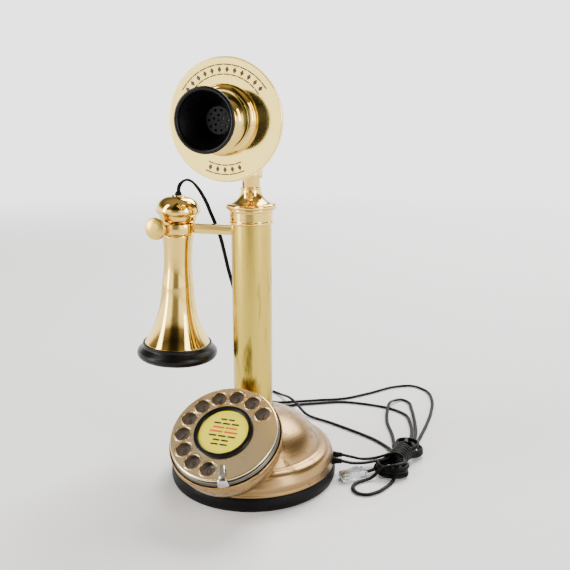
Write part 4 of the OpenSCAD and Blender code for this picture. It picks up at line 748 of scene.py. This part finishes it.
def column():
    """The drawn tube with its arm slot, and the turned collar and cap that close it."""
    tube = [(column_r, column_low), (column_r, column_top), (column_r - wall, column_top),
            (column_r - wall, column_low)]
    made = keep("column_tube_drawn", lathe("column_tube", soften(tube, 0.25)), "stand",
                nodes=("column_tube",))
    form = bmesh.new()
    hook_z = hook_at.z / MM
    block(form, (-column_r - 2, -3.3, hook_z - 4.3), (-column_r + 4, 3.3, hook_z + 6.2))
    cutter = bpy.data.objects.new("arm_slot", to_mesh("arm_slot", form))
    bpy.context.scene.collection.objects.link(cutter)
    slot = made.modifiers.new("Arm slot", "BOOLEAN")
    slot.object, slot.solver = cutter, "EXACT"
    bpy.context.view_layer.update()
    made.data = bpy.data.meshes.new_from_object(made.evaluated_get(bpy.context.evaluated_depsgraph_get()))
    made.modifiers.remove(slot)
    bpy.data.objects.remove(cutter)
    ring = [(column_r + 0.06, collar_low), (collar_r - 0.9, collar_low), (collar_r - 0.2, collar_low + 0.8),
            (collar_r - 0.2, collar_low + 2.2), (collar_r - 0.8, collar_low + 2.8),
            (collar_r - 0.8, column_top - 2.2),
            (collar_r, column_top - 1.6), (collar_r, column_top), (column_r + 0.06, column_top)]
    keep("column_collar_turned", lathe("column_collar", soften(ring, 0.4)), "stand", nodes=("column_collar",))
    rim_h, neck = 3.9, 7.7
    cap = [(3.4, column_top - 6), (column_r - wall - 0.1, column_top - 6),
           (column_r - wall - 0.1, column_top)]
    cap += [(cap_r - 0.5, column_top)] + arc(cap_r - 1.7, column_top + rim_h / 2, 1.7, rim_h / 2, -70, 74, 10)
    reach, tall = cap_r - 1.4 - neck, cap_top - column_top - rim_h - 1
    cap += [(cap_r - 1.4 - reach * math.sin(a), column_top + rim_h + tall * (1 - math.cos(a)))
            for a in (math.radians(90 * i / 24) for i in range(1, 25))]
    cap += [(neck + 0.7, cap_top - 0.9), (neck + 0.7, cap_top), (3.4, cap_top)]
    keep("column_cap_turned", lathe("column_cap", soften(cap, 0.3)), "stand", nodes=("column_cap",))
    for node in ("stem_clevis", "tilt_bolt", "tilt_nut"):
        keep(node + "_finished", refined(node), "stand", nodes=(node,))


def glands():
    """Rubber strain reliefs where the two leads leave the base: a flange, then ribs that taper."""
    for number, degrees in enumerate((9, 18)):
        turn = Matrix.Rotation(math.radians(degrees), 4, "Z") @ Matrix.Rotation(math.radians(90), 4, "Y")
        place = Matrix.Translation((0, 0, 14.6 * MM)) @ turn
        line = [(0, band_r - 5), (2.4, band_r - 5), (2.4, band_r), (3.1, band_r), (3.1, band_r + 1.3)]
        for i in range(4):
            r, z = 2.75 - 0.22 * i, band_r + 1.5 + 1.45 * i
            line += [(r - 0.35, z), (r, z + 0.15), (r - 0.06, z + 0.95), (r - 0.42, z + 1.1)]
        line += [(1.65, band_r + 7.4), (0, band_r + 7.4)]
        mesh = lathe(f"gland_{number}", soften(line, 0.2, 2), 48)
        keep(f"cord_gland_{number}", mesh, "stand", nodes=("cord_glands",), place=place)


# ---------------------------------------------------------------- dial
def dial_case():
    """The cast bowl, the nickel-plated case rim and the enamelled number plate with its numbers."""
    floor_z, depth = -6.2, 27.0
    bowl = [(bowl_r - 0.4, floor_z + 0.3), (bowl_r, floor_z - 0.3), (bowl_r, floor_z - 2)]
    bowl += [(bowl_r - 1 - 19 * (1 - math.cos(a)), floor_z - 3 - (depth - floor_z - 5) * math.sin(a))
             for a in (math.radians(78 * i / 22) for i in range(1, 23))]
    keep("dial_bowl", lathe("dial_bowl", soften(shell(bowl[::-1], 1.8), 0.4, corner=34), 160), "stand",
         CAST_BRASS,
         nodes=("dial_cup",), place=DIAL)
    top = -3.0
    rim = [(3.1, floor_z), (case_r, floor_z), (case_r, floor_z + 0.9), (case_r - 0.3, floor_z + 1.2),
           (case_r - 0.3, top - 0.7), (case_r - 0.9, top), (case_r - 1.9, top - 0.2),
           (case_r - 1.9, floor_z + 1.4),
           (3.1, floor_z + 1.4)]
    keep("dial_case", lathe("dial_case", soften(rim, 0.3), 160), "stand", nodes=("dial_frame",), place=DIAL)
    plate_z = floor_z + 1.4
    plate = [(7, plate_z), (case_r - 2.1, plate_z), (case_r - 2.1, plate_z + 0.8), (7, plate_z + 0.8)]
    keep("number_plate_enamelled", lathe("number_plate", soften(plate, 0.2), 128), "stand",
         nodes=("number_plate",), place=DIAL)
    form = bmesh.new()
    for i in range(10):
        a = hole_start + hole_step * i
        text = bpy.data.curves.new("digit", "FONT")
        text.body, text.size, text.extrude = str((i + 1) % 10), 7.5 * MM, 0.04 * MM
        text.align_x, text.align_y = "CENTER", "CENTER"
        holder = bpy.data.objects.new("digit", text)
        bpy.context.scene.collection.objects.link(holder)
        bpy.context.view_layer.update()
        mesh = bpy.data.meshes.new_from_object(holder.evaluated_get(bpy.context.evaluated_depsgraph_get()))
        bpy.data.objects.remove(holder)
        mesh.transform(Matrix.Translation((hole_pitch_r * math.cos(a) * MM, hole_pitch_r * math.sin(a) * MM,
                                           (plate_z + 0.85) * MM)))
        form.from_mesh(mesh)
    keep("plate_numbers", to_mesh("plate_numbers", form), "stand", PLATE_INK, slot="number_enamel",
         place=DIAL)


def dial_wheel():
    """The finger wheel with its rolled rim and hole rims, and the ring, card and window at its centre."""
    start = (10, hole_pitch_r, hole_start, hole_step)
    wheel = punched("finger_wheel", wheel_r - 0.7, wheel_t, hole_r, [start], FINISH["dial_brass"])
    wheel.transform(Matrix.Translation((0, 0, -wheel_t * MM)))
    keep("finger_wheel_pressed", wheel, "finger_wheel", nodes=("finger_wheel",), place=DIAL, sharp=30)
    rim = arc(wheel_r - 1.2, -wheel_t / 2 + 0.05, 1.2, wheel_t / 2 + 0.1, -90, 90, 12)
    rim += [(wheel_r - 2.6, 0.02), (wheel_r - 2.6, -wheel_t)]
    keep("wheel_rim", lathe("wheel_rim", rim, 176), "finger_wheel", slot="dial_brass", place=DIAL)
    lip = arc(hole_r + 0.35, 0, 0.62, 0.36, 0, 180, 8) + [(hole_r - 0.27, -wheel_t - 0.02),
                                                          (hole_r + 0.2, -wheel_t - 0.02)]
    lips = ring_of("hole_lips", lathe("hole_lip", lip, 48), *start, BURNISHED)
    keep("hole_lips", lips, "finger_wheel", BURNISHED, slot="dial_brass", place=DIAL)
    ring = [(card_r + 0.1, 0), (card_ring_r, 0)] + arc(card_ring_r - 1.2, 1.2, 1.2, 1.0, 0, 90, 8)
    ring += [(card_r + 1.2, 2.2), (card_r + 0.1, 1.5)]
    keep("card_ring_moulded", lathe("card_ring", soften(ring, 0.25)), "finger_wheel", nodes=("card_ring",),
         place=DIAL)
    card = [(0, 0.02), (card_r, 0.02), (card_r, 0.3), (0, 0.3)]
    keep("number_card_printed", lathe("number_card", card, 96), "finger_wheel", nodes=("number_card",),
         place=DIAL)
    pane = [(0, 0.5), (card_r, 0.5), (card_r, 1.2), (card_r - 2, 1.45), (0, 1.6)]
    keep("card_window_clear", lathe("card_window", soften(pane, 0.2), 96), "finger_wheel",
         nodes=("card_window",),
         place=DIAL)
    rows = [(2, 11, BLACK_INK), (3, 20, BLACK_INK), (2, 19, ORANGE_INK), (2, 22, ORANGE_INK),
            (3, 21, BLACK_INK),
            (2, 12, BLACK_INK), (2, 13, BLACK_INK)]
    for ink, label in ((BLACK_INK, "card_bars_black"), (ORANGE_INK, "card_bars_orange")):
        form = bmesh.new()
        for row, (words, width, colour) in enumerate(rows):
            if colour is not ink:
                continue
            y = (3 - row) * 3.6
            word = (width - 1.2 * (words - 1)) / words
            for k in range(words):
                x = -width / 2 + k * (word + 1.2)
                block(form, (x, y - 0.75, 0.29), (x + word, y + 0.75, 0.36))
        keep(label, to_mesh(label, form), "finger_wheel", ink, slot="card_yellow", place=DIAL)


def finger_stop():
    """The plated finger stop: a foot on the case, then a tongue that arches in over the wheel."""
    spine = [(case_r + 1.0, -6.0, 7.6), (case_r + 1.3, -3.6, 7.6), (case_r + 1.2, -1.0, 7.2),
             (case_r + 0.8, 0.9, 6.2),
             (case_r - 0.6, 1.9, 4.8), (case_r - 3.0, 2.2, 4.1), (case_r - 6.0, 2.15, 3.9),
             (case_r - 9.0, 1.9, 3.7),
             (case_r - 11.6, 1.6, 3.2), (case_r - 12.6, 1.5, 2.0)]
    form = bmesh.new()
    rings = []
    for i, (x, z, wide) in enumerate(spine):
        ahead, behind = spine[min(i + 1, len(spine) - 1)], spine[max(i - 1, 0)]
        along = Vector((ahead[0] - behind[0], 0, ahead[1] - behind[1])).normalized()
        out = Vector((-along.z, 0, along.x)) * -0.6
        middle = Vector((x, 0, z))
        rings.append([form.verts.new((middle + out * s + Vector((0, wide * 0.62 * t, 0))) * MM)
                      for s, t in ((1, -1), (1, 1), (-1, 1), (-1, -1))])
    for low, high in zip(rings, rings[1:]):
        for k in range(4):
            j = (k + 1) % 4
            form.faces.new((low[k], low[j], high[j], high[k]))
    form.faces.new(rings[0])
    form.faces.new(rings[-1])
    break_edges(form, 0.4, 50)
    made = keep("finger_stop_plated", to_mesh("finger_stop", form), "stand", STOP_NICKEL,
                nodes=("finger_stop",), place=DIAL @ Matrix.Rotation(stop_angle, 4, "Z"))
    soft = made.modifiers.new("Round", "SUBSURF")
    soft.levels = soft.render_levels = 2


# ---------------------------------------------------------------- hook and receiver
def hook():
    """The hook's arm and fork, and the turned knob on each prong."""
    keep("hook_lever_finished", refined("hook_lever", 0.9), "hook", nodes=("hook_lever",))
    low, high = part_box("hook_knobs")
    knob_r, knob_t = (high.x - low.x) / 2 / MM, 7.2
    knob_x, face = (low.x + high.x) / 2, high.y - knob_t * MM
    line = [(0, 0), (knob_r - 3.4, 0), (knob_r - 3.2, 0.9), (knob_r - 1.2, 2.0)]
    line += arc(knob_r - 1.6, 4.4, 1.6, 2.0, -64, 80, 12)
    line += [(knob_r - 2.6, knob_t - 0.6), (knob_r - 3.4, knob_t - 0.25), (2.2, knob_t), (0, knob_t)]
    for number, side in enumerate((-1, 1)):
        place = Matrix.Translation((knob_x, side * face, (low.z + high.z) / 2)) @ Matrix.Rotation(
            math.radians(-90 * side), 4, "X")
        turned = finish(f"Brass knob, turned {number}", "#dcb858", "#a07a3c", (0.2, 0.34), 0.4, place,
                        patch=9,
                        cover=0.35, relief=0.002, Metallic=1.0)
        keep(f"hook_knob_{number}", lathe("knob", soften(line, 0.3), 96), "hook", turned,
             nodes=("hook_knobs",),
             place=place)


def receiver():
    """The receiver: domed cap with its bush, spun horn and moulded ear ring."""
    neck_len, base_z, rcap_h, mouth = 7.0, arm_h / 2 + 0.5, 21.6, -horn_len + 4
    line = [(waist_r, base_z), (waist_r, -arm_h / 2 - 0.8), (waist_r + 0.5, -arm_h / 2 - 1.3),
            (waist_r + 1.1, -arm_h / 2 - 2.0), (neck_r + 0.1, -neck_len + 0.4)]
    for i in range(1, 49):
        t = i / 48
        flare = neck_r - 1.1 * math.sin(math.pi * min(1, t / 0.45)) + (horn_r - neck_r) * t ** 4.1
        line.append((flare, -neck_len + (mouth + neck_len) * t))
    keep("receiver_horn_spun", lathe("receiver_horn", soften(shell(line[::-1], wall), 0.35, corner=34), 160),
         "receiver", RECEIVER_BRASS, nodes=("receiver_horn",), place=RECEIVER)
    cap = [(2.2, base_z), (waist_r, base_z), (waist_r + 0.8, base_z + 0.1), (rcap_r - 4.4, base_z + 0.9),
           (rcap_r - 3.2, base_z + 2.8), (rcap_r - 2.4, base_z + 5.9), (rcap_r - 0.9, base_z + 7.2),
           (rcap_r - 0.2, base_z + 8.6)]
    cap += arc(5.2, base_z + 9.2, rcap_r - 5.2, rcap_h - 10.4, 2, 84, 26)
    cap += [(5.4, base_z + rcap_h - 1.2), (4.9, base_z + rcap_h), (2.2, base_z + rcap_h)]
    keep("receiver_cap_spun", lathe("receiver_cap", soften(cap, 0.4, corner=34)), "receiver", RECEIVER_BRASS,
         nodes=("receiver_cap",), place=RECEIVER)
    bush_z = base_z + rcap_h
    bush = [(0, bush_z - 5), (2.15, bush_z - 5), (2.15, bush_z), (2.9, bush_z), (2.8, bush_z + 0.9),
            (2.1, bush_z + 2.6),
            (0, bush_z + 2.6)]
    keep("receiver_bush_moulded", lathe("receiver_bush", soften(bush, 0.25), 48), "receiver",
         nodes=("receiver_bush",), place=RECEIVER)
    z, rim = -horn_len - ear_h + 4, horn_r
    ear = [(10, z + 2.6), (13, z + 2.2), (19, z + 1.4), (24, z + 0.5)] + arc(ear_r - 4.4, z + 4.4, 4.4, 4.4,
                                                                             -80, 40, 16)
    ear += [(rim + 2.4, z + 9.4), (rim + 1.7, z + 10.2), (rim + 1.5, z + ear_h), (rim + 0.06, z + ear_h),
            (rim + 0.06, z + ear_h - 4), (24.6, z + ear_h - 4), (24.6, z + 5), (10, z + 5)]
    keep("ear_ring_moulded", lathe("ear_ring", soften(ear, 0.4), 160), "receiver", nodes=("ear_ring",),
         place=RECEIVER)


# ---------------------------------------------------------------- transmitter
def transmitter():
    """The tilting head: cup and lug, knurled face plate, dome and trumpet mouthpiece with its grille."""
    back, cup_r = 16.0, 33.0
    line = [(0, back)] + arc(0, back + 16, cup_r, 16, -88, 0, 26) + [(cup_r, face_back - 3.2)]
    line += [(cup_r + 0.4, face_back - 3), (cup_r + 5.4, face_back - 3), (cup_r + 5.4, face_back)]
    keep("transmitter_cup_spun", lathe("transmitter_cup", soften(shell(line, 1.5), 0.4, corner=34), 160),
         "transmitter", HEAD_BRASS, nodes=("transmitter_cup",), place=HEAD)
    eye_y = (pivot_at.z / MM - face_z)
    lug = [(6.2 * math.cos(a), 6.2 * math.sin(a)) for a in (math.radians(110 - 200 * i / 20) for i in range(21))]
    lug += [(-25, -1), (-25, 14), (-15, 16)]
    form = bmesh.new()
    to = Matrix.Translation((-3.8 * MM, eye_y * MM, 0)) @ Matrix.Rotation(math.radians(90), 4, "Y")
    extruded(form, lug, 0, 7.6, to)
    break_edges(form, 0.6)
    keep("tilt_lug", to_mesh("tilt_lug", form), "transmitter", slot="polished_brass", place=HEAD)
    plate = [(14, face_back), (face_r - 0.9, face_back), (face_r - 0.5, face_back + 0.4),
             (face_r - 0.5, face_front - 0.4), (face_r - 0.9, face_front), (14, face_front)]
    keep("face_plate_buffed", lathe("face_plate", soften(plate, 0.2), 176), "transmitter",
         nodes=("face_plate",),
         place=HEAD)
    form = bmesh.new()
    extruded(form, [(-0.9, -0.42), (0, -0.42), (0.42, 0), (0, 0.42), (-0.9, 0.42)], face_back + 0.25,
             face_front - 0.25, STAND)
    teeth = 200
    knurl = ring_of("plate_knurl", to_mesh("knurl", form), teeth, face_r - 0.45, 0.0, 2 * math.pi / teeth,
                    FINISH["bright_brass"])
    keep("plate_knurl", knurl, "transmitter", slot="bright_brass", place=HEAD, sharp=20)
    step, ornament_r = math.radians(9.5), 33.5
    for label, middle, count in (("ornament_top", 90, 12), ("ornament_low", -90, 5)):
        form = bmesh.new()
        extruded(form, [(-2.3, 0), (0, -1.5), (2.3, 0), (0, 1.5)], face_front - 0.02, face_front + 0.05,
                 STAND)
        for r, half in ((-3.2, 2.3), (3.2, 2.85)):
            extruded(form, [(r - 0.45, -half), (r + 0.45, -half), (r + 0.45, half), (r - 0.45, half)],
                     face_front - 0.02, face_front + 0.05, STAND)
        mesh = ring_of(label, to_mesh("lozenge", form), count, ornament_r,
                       math.radians(middle) - step * (count - 1) / 2,
                       step, ENGRAVED)
        keep(label, mesh, "transmitter", ENGRAVED, slot="bright_brass", place=HEAD)
    front, throat = face_front, 12.6
    shoulder = dome_r - 4.6
    dome = [(dome_r, front), (dome_r, front + 1.4)] + arc(shoulder, front + 1.4, dome_r - shoulder, 5.0, 8,
                                                          84, 16)
    dome += [(shoulder + 0.4 - (shoulder + 0.4 - throat) * math.sin(a),
              front + 6.5 + (dome_front - front - 6.5) * (1 - math.cos(a)))
             for a in (math.radians(90 * i / 16) for i in range(17))]
    keep("transmitter_dome_spun", lathe("transmitter_dome", soften(shell(dome, wall), 0.35, corner=34)),
         "transmitter", HEAD_BRASS, nodes=("transmitter_dome",), place=HEAD)
    grille_z, grille_r, tube = front + 8, 9.2, throat - 1.45
    horn = [(grille_r, grille_z), (tube, grille_z), (tube, dome_front), (throat + 0.9, dome_front + 0.1),
            (throat + 1.0, dome_front + 1.4), (throat + 0.2, dome_front + 1.9)]
    reach = mouth_front - dome_front - 3.4
    horn += [(throat + 0.2 + (mouth_r - throat - 0.6) * (i / 24) ** 1.35, dome_front + 1.9 + reach * i / 24)
             for i in range(1, 25)]
    horn += arc(mouth_r - 1.5, mouth_front - 1.5, 1.5, 1.5, -10, 170, 14)
    depth = mouth_front - grille_z - 3.8
    horn += [(grille_r + (mouth_r - 3.1 - grille_r) * (i / 24) ** 1.3, grille_z + 1.8 + depth * i / 24)
             for i in range(24, -1, -1)]
    keep("mouthpiece_moulded", lathe("mouthpiece", soften(horn, 0.3), 160), "transmitter",
         nodes=("mouthpiece",),
         place=HEAD)
    whole = 2 * math.pi
    grille = punched("grille", grille_r + 0.4, 1.6, 0.95, [(1, 0.0, 0.0, 0.0), (5, 3.4, 0.3, whole / 5),
                                                           (10, 6.9, 0.0, whole / 10)],
                                                           FINISH["black_plastic"])
    grille.transform(Matrix.Translation((0, 0, (grille_z + 0.1) * MM)))
    keep("mouthpiece_grille", grille, "transmitter", slot="black_plastic", place=HEAD, sharp=30)


base()
column()
glands()
dial_case()
dial_wheel()
finger_stop()
hook()
receiver()
transmitter()


# ---------------------------------------------------------------- floor, world and lights
def floor():
    """A pale matt floor that runs out into the pale studio."""
    floor_r, drop, fades_from, fades_to = 6.0, 0.00005, 0.9, 2.4
    form = bmesh.new()
    bmesh.ops.create_circle(form, cap_ends=True, segments=96, radius=floor_r)
    bmesh.ops.translate(form, verts=form.verts, vec=(0, 0, -drop))
    made = bpy.data.objects.new("Floor", to_mesh("Floor", form))
    bpy.context.scene.collection.objects.link(made)
    paper = finish("Studio paper, white", "#fbfbfa", "#f4f4f2", (0.7, 0.85), 1.5, patch=200, relief=0.01,
                   Specular_IOR_Level=0.2)
    tree = paper.node_tree
    coords = add(tree, "ShaderNodeTexCoord").outputs["Object"]
    out = add(tree, "ShaderNodeVectorMath", {0: coords}, operation="LENGTH").outputs["Value"]
    fade = add(tree, "ShaderNodeMapRange", {
        "Value": out, "From Min": fades_from, "From Max": fades_to, "To Min": 1.0, "To Max": 0.0},
        interpolation_type="SMOOTHSTEP").outputs[0]
    tree.links.new(fade, tree.nodes["Principled BSDF"].inputs["Alpha"])
    made.data.materials.append(paper)


def world():
    """A pale studio: white low down, greyer above, so that the brass has something to reflect."""
    strength, dim, strip_from, strip_to = 2.9, 0.12, 0.86, 0.99
    sky = bpy.data.worlds.new("Studio")
    sky.use_nodes = True
    bpy.context.scene.world = sky
    tree = sky.node_tree
    way = add(tree, "ShaderNodeTexCoord").outputs["Generated"]
    up = add(tree, "ShaderNodeSeparateXYZ", {0: way}).outputs[2]
    ramp = add(tree, "ShaderNodeValToRGB", {0: up})
    stops = ramp.color_ramp.elements
    stops[0].position, stops[0].color = 0.2, lin("#ffffff")
    stops[1].position, stops[1].color = 0.95, lin("#6f6a63")
    for position, colour in ((0.34, "#6a635b"), (0.55, "#3a3530")):
        stops.new(position).color = lin(colour)
    # a narrow dim strip, where the studio is left unlit, gives round brass its upright streak
    level = add(tree, "ShaderNodeVectorMath", {0: way, 1: (1, 1, 0)}, operation="MULTIPLY").outputs[0]
    level = add(tree, "ShaderNodeVectorMath", {0: level}, operation="NORMALIZE").outputs[0]
    facing = add(tree, "ShaderNodeVectorMath", {0: level, 1: (0.2, -0.98, 0)}, operation="DOT_PRODUCT")
    lit = add(tree, "ShaderNodeMapRange", {
        "Value": facing.outputs["Value"], "From Min": strip_from, "From Max": strip_to, "To Min": 1.0,
        "To Max": dim},
        interpolation_type="SMOOTHSTEP").outputs[0]
    shade = add(tree, "ShaderNodeVectorMath", {0: ramp.outputs[0], "Scale": lit},
                operation="SCALE").outputs[0]
    tree.links.new(shade, tree.nodes["Background"].inputs[0])
    tree.nodes["Background"].inputs[1].default_value = strength


def lamp(name, at, towards, size, power):
    """A soft rectangular studio lamp."""
    data = bpy.data.lights.new(name, "AREA")
    data.shape, data.size, data.size_y, data.energy = "RECTANGLE", size[0], size[1], power
    made = bpy.data.objects.new(name, data)
    made.location = at
    made.rotation_euler = (Vector(towards) - Vector(at)).to_track_quat("-Z", "Y").to_euler()
    bpy.context.scene.collection.objects.link(made)


floor()
world()
lamp("Key", (-1.1, -0.9, 0.8), (0, 0, 0.15), (0.4, 1.8), 26)
lamp("Right", (1.2, -0.5, 0.7), (0, 0, 0.15), (0.4, 1.0), 12)
lamp("Back", (0.3, 1.6, 1.8), (0, 0.3, 0), (1.6, 1.2), 90)
